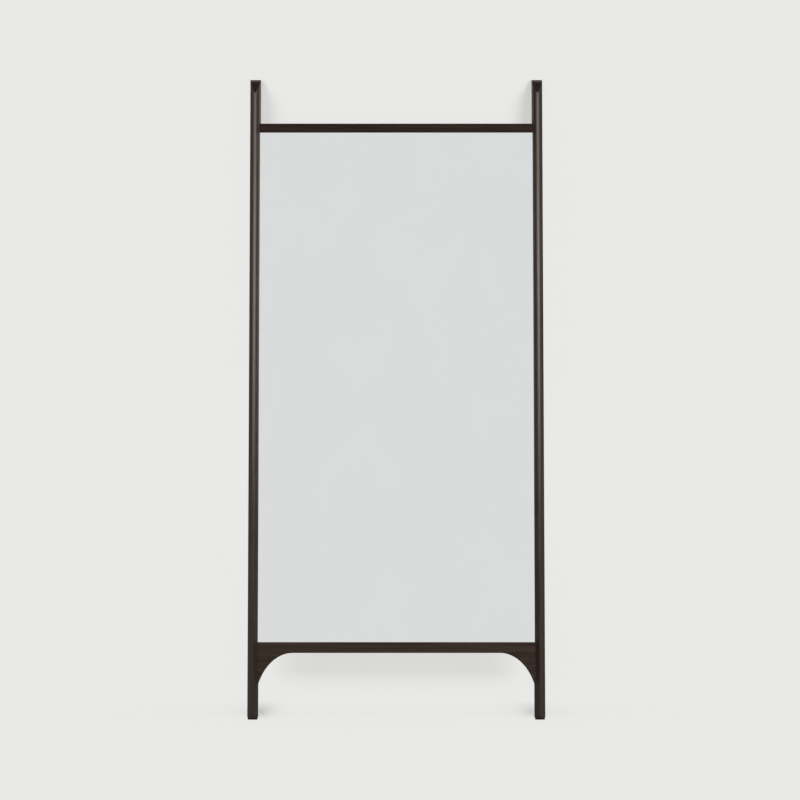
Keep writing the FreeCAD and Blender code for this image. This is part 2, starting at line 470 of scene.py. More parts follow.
def mark(piece: Piece, name: str, values: Sequence[float]) -> None:
    """Store a value on each vertex of a piece under a name that its finish reads."""
    piece.data.attributes.new(name, "FLOAT", "POINT").data.foreach_set("value", values)


def mark_rubbed_edges(piece: Piece, tight: float = 0.5 * MM, wide: float = 6 * MM) -> None:
    """Store on each vertex how much a hand or cloth would rub it, from the bend of the surface.

    Args:
        piece: the piece whose mesh gets the attribute rubbed_edge.
        tight: radius of a convex bend that is fully rubbed.
        wide: radius of a convex bend that isn't rubbed at all.
    """
    work = bmesh.new()
    work.from_mesh(piece.data)
    bends = [0.0] * len(work.verts)
    work.verts.index_update()
    for edge in work.edges:
        if len(edge.link_faces) != 2 or not edge.is_convex:
            continue
        reach = sum(face.calc_area() for face in edge.link_faces) / max(edge.calc_length(), TINY) / 2
        bend = edge.calc_face_angle(0.0) / max(reach, tight)
        share = within(bend, 1 / wide, 1 / tight)
        for vertex in edge.verts:
            bends[vertex.index] = max(bends[vertex.index], share)
    work.free()
    mark(piece, "rubbed_edge", bends)


def dress(piece: Piece, node: str, finishes: Sequence[Finish],
          choose: Callable[[bpy.types.MeshPolygon], int] | None = None, sharp: float | None = 32.0) -> Piece:
    """Give a piece its finishes and let it stand for its CAD node on the frame.

    Args:
        piece: the finished object.
        node: the CAD node that it stands for.
        finishes: its materials.
        choose: gives each face the number of its finish; without it, every face has the first.
        sharp: turn in degrees from which an edge stays sharp; None leaves every face flat.

    Returns:
        The same piece.
    """
    piece.data.materials.clear()
    for finish in finishes:
        piece.data.materials.append(finish)
    if choose:
        for face in piece.data.polygons:
            face.material_index = choose(face)
    if sharp is not None:
        piece.data.polygons.foreach_set("use_smooth", [True] * len(piece.data.polygons))
        piece.data.set_sharp_from_angle(angle=math.radians(sharp))
    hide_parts(node)
    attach(piece, BODY)
    return piece


def shaded(colour: Colour, share: float) -> Colour:
    """A colour made darker or lighter by a share."""
    return tuple(value * share for value in colour)


class Coat:
    """The node tree of one finish, with short ways to add nodes and join them."""

    def __init__(self, name: str) -> None:
        """Start a material with a bare surface shader.

        Args:
            name: name of the material.
        """
        self.material = bpy.data.materials.new(name)
        self.material.use_nodes = True
        self.tree = self.material.node_tree
        self.shader = self.tree.nodes["Principled BSDF"]

    def set(self, **values: object) -> None:
        """Set sockets of the surface shader; an underscore in a name stands for a space."""
        for key, value in values.items():
            self.shader.inputs[key.replace("_", " ")].default_value = value

    def add(self, kind: str, sockets: dict | None = None, **settings: object) -> bpy.types.Node:
        """Add a node.

        Args:
            kind: what comes after ShaderNode in the node's type.
            sockets: values of its input sockets, by name or number.
            settings: values of the node's own properties.

        Returns:
            The new node.
        """
        node = self.tree.nodes.new("ShaderNode" + kind)
        for key, value in settings.items():
            setattr(node, key, value)
        for key, value in (sockets or {}).items():
            node.inputs[key].default_value = value
        return node

    def join(self, source: Socket, target: Socket) -> None:
        """Link one socket to another."""
        self.tree.links.new(source, target)

    def place(self, size: float | Point, turn: Point = LEVEL) -> Socket:
        """Coordinates fixed to the piece, counted in features of a size.

        Args:
            size: how large one feature is, or how large along each axis.
            turn: rotation of the axes that the size is measured along.

        Returns:
            The socket that gives the coordinates.
        """
        scale = size if isinstance(size, tuple) else (size,) * 3
        source = self.add("TexCoord")
        mapping = self.add("Mapping", {"Rotation": turn, "Scale": scale}, vector_type="TEXTURE")
        self.join(source.outputs["Object"], mapping.inputs["Vector"])
        return mapping.outputs["Vector"]

    def noise(self, size: float | Point, detail: float = 4.0, rough: float = 0.55, warp: float = 0.0,
              turn: Point = LEVEL) -> Socket:
        """A cloud of lighter and darker features.

        Args:
            size: how large one feature is, or how large along each axis.
            detail: number of finer layers.
            rough: strength of the finer layers.
            warp: how much the cloud is stirred.
            turn: rotation of the axes that the size is measured along.

        Returns:
            The socket that gives a value from 0 to 1.
        """
        values = {"Scale": 1.0, "Detail": detail, "Roughness": rough, "Distortion": warp}
        node = self.add("TexNoise", values)
        self.join(self.place(size, turn), node.inputs["Vector"])
        return node.outputs["Fac"]

    def cells(self, size: float | Point, turn: Point = LEVEL) -> Socket:
        """Round cells, as of foam or of pores seen from their ends.

        Args:
            size: how far apart they are, or how far along each axis.
            turn: rotation of the axes that the size is measured along.

        Returns:
            The socket that gives the distance from the middle of the nearest cell.
        """
        node = self.add("TexVoronoi", {"Scale": 1.0, "Randomness": 1.0}, feature="F1")
        self.join(self.place(size, turn), node.inputs["Vector"])
        return node.outputs["Distance"]

    def ramp(self, source: Socket, stops: Sequence[tuple[float, Colour]]) -> Socket:
        """Colours that follow a value.

        Args:
            source: the value.
            stops: places from 0 to 1 and the linear colours there.

        Returns:
            The socket that gives the colour.
        """
        node = self.add("ValToRGB")
        steps = node.color_ramp.elements
        while len(steps) < len(stops):
            steps.new(0.5)
        for step, (place, colour) in zip(steps, stops):
            step.position = place
            step.color = (*colour, 1.0)
        self.join(source, node.inputs["Fac"])
        return node.outputs["Color"]

    def band(self, source: Socket, start: Range, end: Range) -> Socket:
        """A value moved from one range to another and kept inside it.

        Args:
            source: the value.
            start: the range that it comes from.
            end: the range that it goes to.

        Returns:
            The socket that gives the moved value.
        """
        values = {"From Min": start[0], "From Max": start[1], "To Min": end[0], "To Max": end[1]}
        node = self.add("MapRange", values, clamp=True)
        self.join(source, node.inputs["Value"])
        return node.outputs["Result"]

    def mix(self, share: Socket, first: Colour | Socket, second: Colour | Socket) -> Socket:
        """Two colours mixed by a share that changes over the surface.

        Args:
            share: how much of the second colour there is.
            first: colour or socket below.
            second: colour or socket above.

        Returns:
            The socket that gives the colour.
        """
        node = self.add("Mix", data_type="RGBA")
        self.join(share, node.inputs["Factor"])
        for name, value in (("A", first), ("B", second)):
            socket = next(item for item in node.inputs if item.name == name and item.type == "RGBA")
            if isinstance(value, tuple):
                socket.default_value = (*value, 1.0)
            else:
                self.join(value, socket)
        return next(item for item in node.outputs if item.type == "RGBA")

    def maths(self, way: str, first: Socket, second: Socket | float) -> Socket:
        """Two values joined by arithmetic.

        Args:
            way: the operation.
            first: a value that changes over the surface.
            second: another one, or a number.

        Returns:
            The socket that gives the result.
        """
        node = self.add("Math", operation=way)
        self.join(first, node.inputs[0])
        if isinstance(second, (int, float)):
            node.inputs[1].default_value = second
        else:
            self.join(second, node.inputs[1])
        return node.outputs["Value"]

    def overlay(self, first: Socket, second: Socket, share: float) -> Socket:
        """Two patterns laid over each other.

        Args:
            first: one pattern.
            second: the other pattern.
            share: share of the first one. The second has the rest.

        Returns:
            The socket that gives the joint pattern.
        """
        whole = self.maths("MULTIPLY_ADD", first, share)
        self.join(self.maths("MULTIPLY", second, 1 - share), whole.node.inputs[2])
        return whole

    def bump(self, height: Socket, depth: float, strength: float, below: Socket | None = None) -> Socket:
        """A fine relief.

        Args:
            height: the value that gives the height.
            depth: the height that a value of 1 stands for.
            strength: share of the relief that shows.
            below: a coarser relief that this one lies on.

        Returns:
            The socket that gives the bent normal.
        """
        node = self.add("Bump", {"Strength": strength, "Distance": depth})
        self.join(height, node.inputs["Height"])
        if below is not None:
            self.join(below, node.inputs["Normal"])
        return node.outputs["Normal"]

    def marked(self, name: str) -> Socket:
        """The value that a mesh stores on its vertices under a name."""
        return self.add("Attribute", attribute_name=name).outputs["Fac"]

    def surface(self, colour: Socket, roughness: Socket, relief: Socket, **values: object) -> Finish:
        """Join what changes over the surface to the shader, and set what is the same all over.

        Args:
            colour: the colour.
            roughness: the roughness.
            relief: the bent normal.
            values: other sockets of the shader, as for set().

        Returns:
            The finished material.
        """
        for name, socket in (("Base Color", colour), ("Roughness", roughness), ("Normal", relief)):
            self.join(socket, self.shader.inputs[name])
        self.set(**values)
        return self.material

    def even(self, pattern: Socket, stops: Sequence[tuple[float, Colour]], rough: Range, depth: float,
             strength: float, **values: object) -> Finish:
        """A finish whose colour, roughness and relief all follow one pattern.

        Args:
            pattern: the pattern, with values mostly from 0.3 to 0.7.
            stops: the colours, as for ramp().
            rough: roughness where the pattern is low and where it is high.
            depth: depth of the relief.
            strength: share of the relief that shows.
            values: other sockets of the shader, as for set().

        Returns:
            The finished material.
        """
        return self.surface(self.ramp(pattern, stops), self.band(pattern, (0.3, 0.7), rough),
                            self.bump(pattern, depth, strength), **values)


@dataclass(frozen=True)
class StainedWood:
    """Dark brown stain on straight-grained hardwood, under a satin lacquer."""

    name: str
    deep: Colour = (0.0115, 0.0066, 0.0054)
    body: Colour = (0.0250, 0.0152, 0.0125)
    light: Colour = (0.0420, 0.0270, 0.0220)
    rubbed: Colour = (0.0700, 0.0480, 0.0380)
    # Pale grey painted on as a highlight along the posts' ridges and crowns, and as a reflection along their
    # edges by the glass.
    burnished: Colour = (0.2300, 0.2040, 0.1850)
    tone: Colour = (1.0, 1.0, 1.0)
    end_share: float = 0.62
    end_pore_share: float = 0.4
    lean: float = 0.0
    fibre: Flat = (1.0 * MM, 46 * MM)
    figure: Flat = (11 * MM, 420 * MM)
    figure_share: float = 0.55
    pore: Flat = (0.32 * MM, 7 * MM)
    fibre_relief: float = 0.05 * MM
    pore_relief: float = 0.06 * MM
    rings: Point = (9 * MM, 14 * MM, 90 * MM)
    end_pore: Point = (0.55 * MM, 0.55 * MM, 30 * MM)
    worn_patch: float = 9 * MM
    end_worn_patch: float = 7 * MM
    gloss: float = 0.03
    lacquer_index: float = 1.48

    def toned(self, colour: Colour) -> Colour:
        """A colour of the stain as it came out on this board."""
        return tuple(value * share for value, share in zip(colour, self.tone))

    def stretched(self, grain: Grain, feature: Flat) -> Point:
        """Size of a feature along each axis, from its width and its length along the fibres."""
        wide, long = feature
        return (wide, wide, long) if grain is Grain.ALONG_POST else (long, wide, wide)

    def wear(self, coat: Coat, patch: float, most: float) -> Socket:
        """How much of the stain use has rubbed off the edges, more in some patches than in others.

        Args:
            coat: the finish that is being made.
            patch: size of a patch.
            most: share that is gone where most is rubbed off.

        Returns:
            The socket that gives the share.
        """
        patches = coat.band(coat.noise(patch, 3.0), (0.38, 0.68), (0.10, most))
        return coat.maths("MULTIPLY", coat.marked("rubbed_edge"), patches)

    def material(self, grain: Grain) -> Finish:
        """The finish of surfaces along the fibres.

        Args:
            grain: the way that the fibres run.

        Returns:
            A new material.
        """
        coat = Coat(self.name + "_" + grain.name.lower())
        turn = (-self.lean, 0.0, 0.0)
        figure = coat.noise(self.stretched(grain, self.figure), 3.0, 0.5, 0.9, turn)
        fibre = coat.noise(self.stretched(grain, self.fibre), 5.0, 0.62, turn=turn)
        pores = coat.noise(self.stretched(grain, self.pore), 2.0, 0.5, turn=turn)
        tone = coat.overlay(figure, fibre, self.figure_share)
        stops = [(0.30, self.deep), (0.50, self.body), (0.72, self.light)]
        stain = coat.ramp(tone, [(place, self.toned(colour)) for place, colour in stops])
        stain = coat.mix(coat.band(pores, (0.56, 0.70), (0.0, 0.75)), stain, self.toned(self.deep))
        wear = self.wear(coat, self.worn_patch, 0.85)
        stain = coat.mix(wear, stain, self.rubbed)
        uneven = coat.band(tone, (0.3, 0.7), (0.62, 1.0))
        # Painted highlight and painted reflection: the ridge and the edge by the glass are mixed towards a
        # pale grey, unevenly with the figure.
        grip = coat.maths("MULTIPLY", coat.marked("burnished_ridge"), uneven)
        sheen = coat.band(tone, (0.3, 0.7), (0.54, 0.44))
        relief = coat.bump(fibre, self.fibre_relief, 0.5)
        relief = coat.bump(coat.band(pores, (0.50, 0.72), (1.0, 0.0)), self.pore_relief, 0.5, relief)
        return coat.surface(coat.mix(grip, stain, self.burnished),
                            coat.maths("SUBTRACT", sheen, coat.maths("MULTIPLY", wear, 0.08)), relief,
                            IOR=self.lacquer_index, Specular_IOR_Level=self.gloss)

    def end_material(self) -> Finish:
        """The finish of surfaces across the fibres, which are drawn darker and shine less.

        Returns:
            A new material.
        """
        coat = Coat(self.name + "_end_grain")
        turn = (-self.lean, 0.0, 0.0)
        waves = {"Scale": 1.0, "Distortion": 2.2, "Detail": 2.0, "Detail Scale": 0.7}
        node = coat.add("TexWave", waves, wave_type="BANDS", bands_direction="DIAGONAL", wave_profile="SAW")
        coat.join(coat.place(self.rings, turn), node.inputs["Vector"])
        rings = node.outputs["Fac"]
        pores = coat.cells(self.end_pore, turn)
        early, late = (shaded(self.toned(part), self.end_share) for part in (self.deep, self.body))
        tone = coat.ramp(rings, [(0.0, early), (1.0, late)])
        pore_mark = coat.band(pores, (0.16, 0.30), (0.8, 0.0))
        tone = coat.mix(pore_mark, tone, shaded(self.deep, self.end_pore_share))
        tone = coat.mix(self.wear(coat, self.end_worn_patch, 0.8), tone, self.rubbed)
        # Painted highlight: the round crown on top of each post is mixed towards the same pale grey.
        tone = coat.mix(coat.marked("painted_crown_highlight"), tone, self.burnished)
        relief = coat.bump(coat.band(pores, (0.12, 0.35), (0.0, 1.0)), self.pore_relief, 0.5)
        return coat.surface(tone, coat.band(rings, (0.0, 1.0), (0.58, 0.50)), relief,
                            IOR=self.lacquer_index, Specular_IOR_Level=self.gloss)


@dataclass(frozen=True)
class PlanedBeech:
    """Bare beech with short dark flecks, as loose tenons have, and its fibres along x."""

    pale: Colour = (0.50, 0.31, 0.165)
    warm: Colour = (0.40, 0.22, 0.105)
    fleck: Colour = (0.22, 0.10, 0.045)
    fibre_size: Point = (30 * MM, 1.2 * MM, 1.2 * MM)
    fleck_size: Point = (3.2 * MM, 0.35 * MM, 0.35 * MM)
    relief: float = 0.08 * MM

    def material(self) -> Finish:
        """The finish as the tools leave it.

        Returns:
            A new material.
        """
        coat = Coat("planed_beech")
        fibre = coat.noise(self.fibre_size, 5.0, 0.6)
        flecks = coat.band(coat.noise(self.fleck_size, 1.5, 0.5), (0.62, 0.72), (0.0, 0.8))
        tone = coat.mix(flecks, coat.ramp(fibre, [(0.3, self.warm), (0.7, self.pale)]), self.fleck)
        return coat.surface(tone, coat.band(fibre, (0.3, 0.7), (0.66, 0.56)),
                            coat.bump(fibre, self.relief, 0.5), IOR=1.5, Specular_IOR_Level=0.35)


@dataclass(frozen=True)
class SilveredGlass:
    """Clear float glass with a silver coat behind it."""

    silver: Colour = (0.852, 0.878, 0.887)
    dusty: Colour = (0.842, 0.868, 0.877)
    edge: Colour = (0.16, 0.30, 0.25)
    paint: Colour = (0.20, 0.21, 0.22)
    film_size: Point = (160 * MM, 160 * MM, 260 * MM)
    ripple_size: Point = (350 * MM, 350 * MM, 600 * MM)
    grind_size: Point = (6 * MM, 0.4 * MM, 6 * MM)
    paint_skin: float = 1.6 * MM
    ripple_relief: float = 0.02 * MM
    grind_relief: float = 0.03 * MM
    paint_relief: float = 0.02 * MM
    shaded_edge: float = 0.7
    lit_paint: float = 1.15

    def face_material(self) -> Finish:
        """The reflecting front, with a trace of polish left on it.

        Returns:
            A new material.
        """
        coat = Coat("silvered_glass_front")
        film = coat.noise(self.film_size, 4.0, 0.5, 0.6)
        ripple = coat.noise(self.ripple_size, 1.0, 0.4)
        return coat.surface(coat.ramp(film, [(0.35, self.silver), (0.75, self.dusty)]),
                            coat.band(film, (0.35, 0.80), (0.004, 0.016)),
                            coat.bump(ripple, self.ripple_relief, 0.05), Metallic=1.0)

    def edge_material(self) -> Finish:
        """The ground edges, green as float glass is.

        Returns:
            A new material.
        """
        coat = Coat("ground_glass_edge")
        grind = coat.noise(self.grind_size, 4.0, 0.6)
        stops = [(0.3, shaded(self.edge, self.shaded_edge)), (0.7, self.edge)]
        return coat.even(grind, stops, (0.30, 0.48), self.grind_relief, 0.6, IOR=1.52)

    def back_material(self) -> Finish:
        """The grey paint that protects the silver.

        Returns:
            A new material.
        """
        coat = Coat("mirror_back_paint")
        orange_peel = coat.noise(self.paint_skin, 2.0, 0.5)
        stops = [(0.3, self.paint), (0.7, shaded(self.paint, self.lit_paint))]
        return coat.even(orange_peel, stops, (0.5, 0.62), self.paint_relief, 0.4)


@dataclass(frozen=True)
class Fibreboard:
    """Dark brown pressed fibreboard with loose fibres in its face."""

    ground: Colour = (0.026, 0.016, 0.011)
    fibre: Colour = (0.050, 0.033, 0.024)
    speck: Colour = (0.010, 0.006, 0.004)
    cloud_size: float = 60 * MM
    fibre_size: Point = (4 * MM, 0.5 * MM, 1.1 * MM)
    fibre_turn: Point = (0.0, 0.5, 0.0)
    speck_size: float = 1.1 * MM
    relief: float = 0.06 * MM

    def material(self) -> Finish:
        """The finish of both faces and the edges.

        Returns:
            A new material.
        """
        coat = Coat("pressed_fibreboard")
        cloud = coat.noise(self.cloud_size, 4.0, 0.6)
        fibres = coat.noise(self.fibre_size, 4.0, 0.65, 2.5, self.fibre_turn)
        speck = coat.noise(self.speck_size, 1.0)
        tone = coat.ramp(fibres, [(0.35, self.ground), (0.72, self.fibre)])
        tone = coat.mix(coat.band(speck, (0.66, 0.74), (0.0, 0.8)), tone, self.speck)
        tone = coat.mix(coat.band(cloud, (0.3, 0.8), (0.0, 0.35)), tone, self.fibre)
        return coat.surface(tone, coat.band(fibres, (0.3, 0.7), (0.48, 0.62)),
                            coat.bump(fibres, self.relief, 0.5), IOR=1.5, Specular_IOR_Level=0.4)


@dataclass(frozen=True)
class ZincPlate:
    """Bright zinc plating on small screws."""

    bright: Colour = (0.56, 0.57, 0.57)
    dull: Colour = (0.36, 0.36, 0.35)
    bloom_size: float = 1.2 * MM
    relief: float = 0.01 * MM

    def material(self) -> Finish:
        """The plated finish.

        Returns:
            A new material.
        """
        coat = Coat("bright_zinc_plate")
        bloom = coat.noise(self.bloom_size, 3.0, 0.6)
        stops = [(0.35, self.dull), (0.65, self.bright)]
        return coat.even(bloom, stops, (0.42, 0.28), self.relief, 0.4, Metallic=1.0)


@dataclass(frozen=True)
class MouldedRubber:
    """Matt black rubber with a fine moulded skin."""

    name: str
    dark: Colour = (0.0055, 0.0055, 0.0056)
    dusty: Colour = (0.020, 0.0195, 0.019)
    skin: float = 0.5 * MM
    dust_size: float = 9 * MM
    relief: float = 0.06 * MM

    def material(self) -> Finish:
        """The finish with some dust on it.

        Returns:
            A new material.
        """
        coat = Coat(self.name)
        skin = coat.noise(self.skin, 2.0, 0.5)
        dust = coat.noise(self.dust_size, 4.0, 0.6)
        return coat.surface(coat.ramp(dust, [(0.42, self.dark), (0.78, self.dusty)]),
                            coat.band(dust, (0.3, 0.7), (0.66, 0.82)), coat.bump(skin, self.relief, 0.6),
                            IOR=1.5, Specular_IOR_Level=0.35)


@dataclass(frozen=True)
class ClosedFoam:
    """White closed-cell foam tape."""

    cell: Colour = (0.74, 0.74, 0.71)
    wall: Colour = (0.60, 0.60, 0.57)
    cell_size: float = 0.7 * MM
    relief: float = 0.12 * MM

    def material(self) -> Finish:
        """The finish of its skin and its cut edges.

        Returns:
            A new material.
        """
        coat = Coat("closed_cell_foam")
        depth = coat.cells(self.cell_size)
        return coat.surface(coat.ramp(depth, [(0.1, self.cell), (0.8, self.wall)]),
                            coat.band(depth, (0.0, 0.8), (0.78, 0.9)), coat.bump(depth, self.relief, 0.6),
                            Specular_IOR_Level=0.3)


@dataclass(frozen=True)
class PressedFelt:
    """Grey-brown pressed wool felt."""

    pale: Colour = (0.078, 0.062, 0.052)
    dark: Colour = (0.030, 0.024, 0.020)
    hair_size: Point = (1.6 * MM, 1.6 * MM, 0.25 * MM)
    hair_turn: Point = (0.0, 0.7, 0.0)
    mat_size: Point = (0.3 * MM, 0.3 * MM, 1.8 * MM)
    mat_turn: Point = (0.0, 0.2, 0.0)
    relief: float = 0.25 * MM

    def material(self) -> Finish:
        """The finish with hairs lying two ways.

        Returns:
            A new material.
        """
        coat = Coat("pressed_wool_felt")
        hair = coat.noise(self.hair_size, 4.0, 0.7, 3.0, self.hair_turn)
        mat = coat.noise(self.mat_size, 4.0, 0.7, 3.0, self.mat_turn)
        stops = [(0.36, self.dark), (0.66, self.pale)]
        return coat.even(coat.overlay(hair, mat, 0.5), stops, (0.98, 0.86), self.relief, 0.8,
                         Specular_IOR_Level=0.2, Sheen_Weight=0.35, Sheen_Roughness=0.5)


@dataclass
class Post:
    """One ridged post: sloped on top, bevelled for the wall and rebated for the glass."""

    sizes: FrameSizes
    side: Side
    top_easing: float = 0.9 * MM
    foot_easing: float = 1.1 * MM
    side_easing: float = 4 * MM
    ridge_strips: int = 8
    flank_strips: int = 14
    side_strips: int = 4
    crown_strips: int = 8
    heel_strips: int = 4
    easing_strips: int = 4
    length_strips: int = 24
    end_rows: Flat = (8 * MM, 40 * MM)
    bevel_rows: tuple[float, ...] = (0.3 * MM, 0.0, -0.3 * MM, -0.8 * MM)
    bevel_blend: float = 2.0 * MM
    least_strip: float = 0.2 * MM
    cutter_easing: float = 0.01 * MM
    rebate_easing: float = 0.3 * MM
    rebate_angle: float = 60.0
    end_grain: float = 0.24
    # Painted highlight on the ridge: its strength by height in metres, strongest in the upper half where the
    # lamps would shine, and how far across it reaches. The painted reflection reaches over the inner edge by
    # the glass, and the crown gets a weaker painted highlight.
    grip: tuple[Flat, ...] = ((0.3, 0.03), (0.56, 0.12), (0.85, 0.65), (1.19, 1.0), (1.45, 0.9), (1.73, 0.6))
    grip_reach: Range = (2.0 * MM, 5.6 * MM)
    edge_reflection_reach: Range = (9.8 * MM, 12.4 * MM)
    crown_highlight_share: float = 0.20

    def outline(self) -> list[tuple[Flat, Flat]]:
        """Half of the section, from the ridge round to the back.

        Returns:
            Points with their outward directions, as x and y from the middle of the post.
        """
        sizes = self.sizes
        turn = sizes.flank_turn
        out = (math.cos(turn), math.sin(turn))
        radius, soft, heel = sizes.ridge_radius, self.side_easing, sizes.heel_radius
        ridge_y = radius - sizes.post_depth
        side_y = soft * math.tan(-turn / 2) - sizes.flat_side
        points = arc((0.0, ridge_y), radius, -QUARTER, turn, self.ridge_strips)
        shoulder = Vector((out[0] * radius, ridge_y + out[1] * radius))
        edge = Vector((sizes.half - soft + soft * out[0], side_y + soft * out[1]))
        for share in shares(self.flank_strips)[:-1]:
            point = shoulder.lerp(edge, share)
            points.append(((point.x, point.y), out))
        points += arc((sizes.half - soft, side_y), soft, turn, 0.0, self.side_strips)
        turns = [sizes.top_slope * (1 - share) for share in shares(self.crown_strips)]
        crown = [-sizes.crown_start - sizes.crown_radius * math.sin(angle) for angle in turns]
        bevel = [-sizes.bevel_depth - step for step in self.bevel_rows]
        depths = [side_y] + [y for y in crown if y > side_y + self.least_strip] + bevel
        points += [((sizes.half, y), (1.0, 0.0)) for y in depths]
        points += arc((sizes.half - heel, -heel), heel, 0.0, QUARTER, self.heel_strips)
        points.append(((sizes.half - heel, 0.0), (0.0, 1.0)))
        return points

    def top(self, y: float) -> float:
        """Height of the slope, the crown, the land or the wall bevel.

        Args:
            y: depth, negative towards the front.

        Returns:
            The height of the top at that depth.
        """
        sizes = self.sizes
        beyond = max(0.0, -y - sizes.crown_start)
        if beyond < sizes.crown_radius * math.sin(sizes.top_slope):
            surface = sizes.post_top - sizes.crown_radius + math.sqrt(sizes.crown_radius ** 2 - beyond ** 2)
        else:
            surface = sizes.post_top - (-y - sizes.land_front) * math.tan(sizes.top_slope)
        bevel = sizes.post_top - (y + sizes.bevel_depth) / math.tan(sizes.lean)
        return soft_min(surface, bevel, self.bevel_blend)

    def ring(self, shaper: Shaper, share: float, lift: float = 0.0, inset: float = 0.0) -> list[Corner]:
        """Add the vertices of one closed row round the post.

        Args:
            shaper: the mesh that is being made.
            share: where the row lies, from 0 at the square-sawn foot to 1 at the sloping top.
            lift: distance of the row above that place.
            inset: distance of the row inside the outline.

        Returns:
            The vertices, from the ridge round the right-hand side and back.
        """
        sizes = self.sizes
        right = [(x - out[0] * inset, y - out[1] * inset) for (x, y), out in self.outline()]
        left = [(-x, y) for x, y in reversed(right[1:])]
        foot = sizes.post_foot * (1 - share)
        return shaper.row([(sizes.centre + x, y, foot + self.top(y) * share + lift) for x, y in right + left])

    def cap(self, shaper: Shaper, ring: Sequence[Corner]) -> None:
        """Close the post across the top or the foot with strips from side to side.

        Args:
            shaper: the mesh that is being made.
            ring: the last row at that end.
        """
        for index in range(len(ring) // 2):
            right, right_next = ring[index], ring[index + 1]
            left, left_next = ring[-index], ring[-index - 1]
            if index == 0:
                shaper.face([right, right_next, left_next])
            elif right_next is left_next:
                shaper.face([right, right_next, left])
            else:
                shaper.face([right, right_next, left_next, left])

    def shape(self) -> Shaper:
        """Draw the post before its rebate.

        Returns:
            The mesh, upright on the right-hand side.
        """
        shaper = Shaper(f"{self.side.label}_post")
        foot_round = rounded_step(self.foot_easing, self.easing_strips)
        top_round = rounded_step(self.top_easing, self.easing_strips)
        rows = [self.ring(shaper, 0.0, drop, inset) for inset, drop in reversed(foot_round)]
        rows += [self.ring(shaper, 0.0, lift) for lift in self.end_rows]
        rows += [self.ring(shaper, share) for share in shares(self.length_strips)[1:-1]]
        rows += [self.ring(shaper, 1.0, -lift) for lift in reversed(self.end_rows)]
        rows += [self.ring(shaper, 1.0, -drop, inset) for inset, drop in top_round]
        shaper.loft(rows, capped=False)
        self.cap(shaper, rows[0])
        self.cap(shaper, rows[-1])
        return shaper

    def rebate_cutters(self) -> list[Piece]:
        """Make the two steps of the space that takes the glass and the back panel.

        Returns:
            One block for each step.
        """
        sizes = self.sizes
        cutters = []
        steps = ((sizes.glass_rebate, sizes.glass_front), (sizes.panel_rebate, sizes.panel_front))
        for reach, front in steps:
            shaper = Shaper("rebate")
            across = (sizes.inner - reach, sizes.inner + reach)
            shaper.block(across, (front, reach), sizes.opening(reach), self.cutter_easing, 1)
            cutters.append(shaper.piece(sizes.leaned, self.side))
        return cutters

    def mark_painted_shine(self, piece: Piece) -> None:
        """Store on each vertex the strength of the painted highlight on the ridge and the crown, and of the
        painted reflection along the edge by the glass.

        Args:
            piece: the post whose mesh gets one attribute for the painted ridge highlight and edge reflection,
                and one for the painted crown highlight.
        """
        sizes = self.sizes
        near, far = self.grip_reach
        ridges, crowns = [], []
        for vertex in piece.data.vertices:
            across = abs(vertex.co.x) - sizes.centre
            # Painted highlight by the ridge and painted reflection by the glass, changing with height.
            shine_share = max(within(abs(across), far, near), within(-across, *self.edge_reflection_reach))
            ridges.append(shine_share * follow(self.grip, vertex.co.z) if vertex.normal.y < 0 else 0.0)
            # Painted highlight on the crown.
            crowns.append(self.crown_highlight_share if vertex.co.z > sizes.height - sizes.crown_radius else 0.0)
        mark(piece, "burnished_ridge", ridges)
        mark(piece, "painted_crown_highlight", crowns)

    def build(self, along: Finish, ends: Finish) -> Piece:
        """Make the post and dress it.

        Args:
            along: finish of the long surfaces.
            ends: finish of the sloping top and the foot.

        Returns:
            The finished post.
        """
        piece = self.shape().piece(self.sizes.leaned, self.side)
        carve(piece, self.rebate_cutters())
        ease(piece, self.rebate_easing, self.rebate_angle)
        mark_rubbed_edges(piece)
        self.mark_painted_shine(piece)
        axis = Vector((0.0, math.sin(self.sizes.lean), math.cos(self.sizes.lean)))
        return dress(piece, f"{self.side.label}_post", (along, ends),
                     lambda face: int(abs(face.normal.dot(axis)) > self.end_grain))


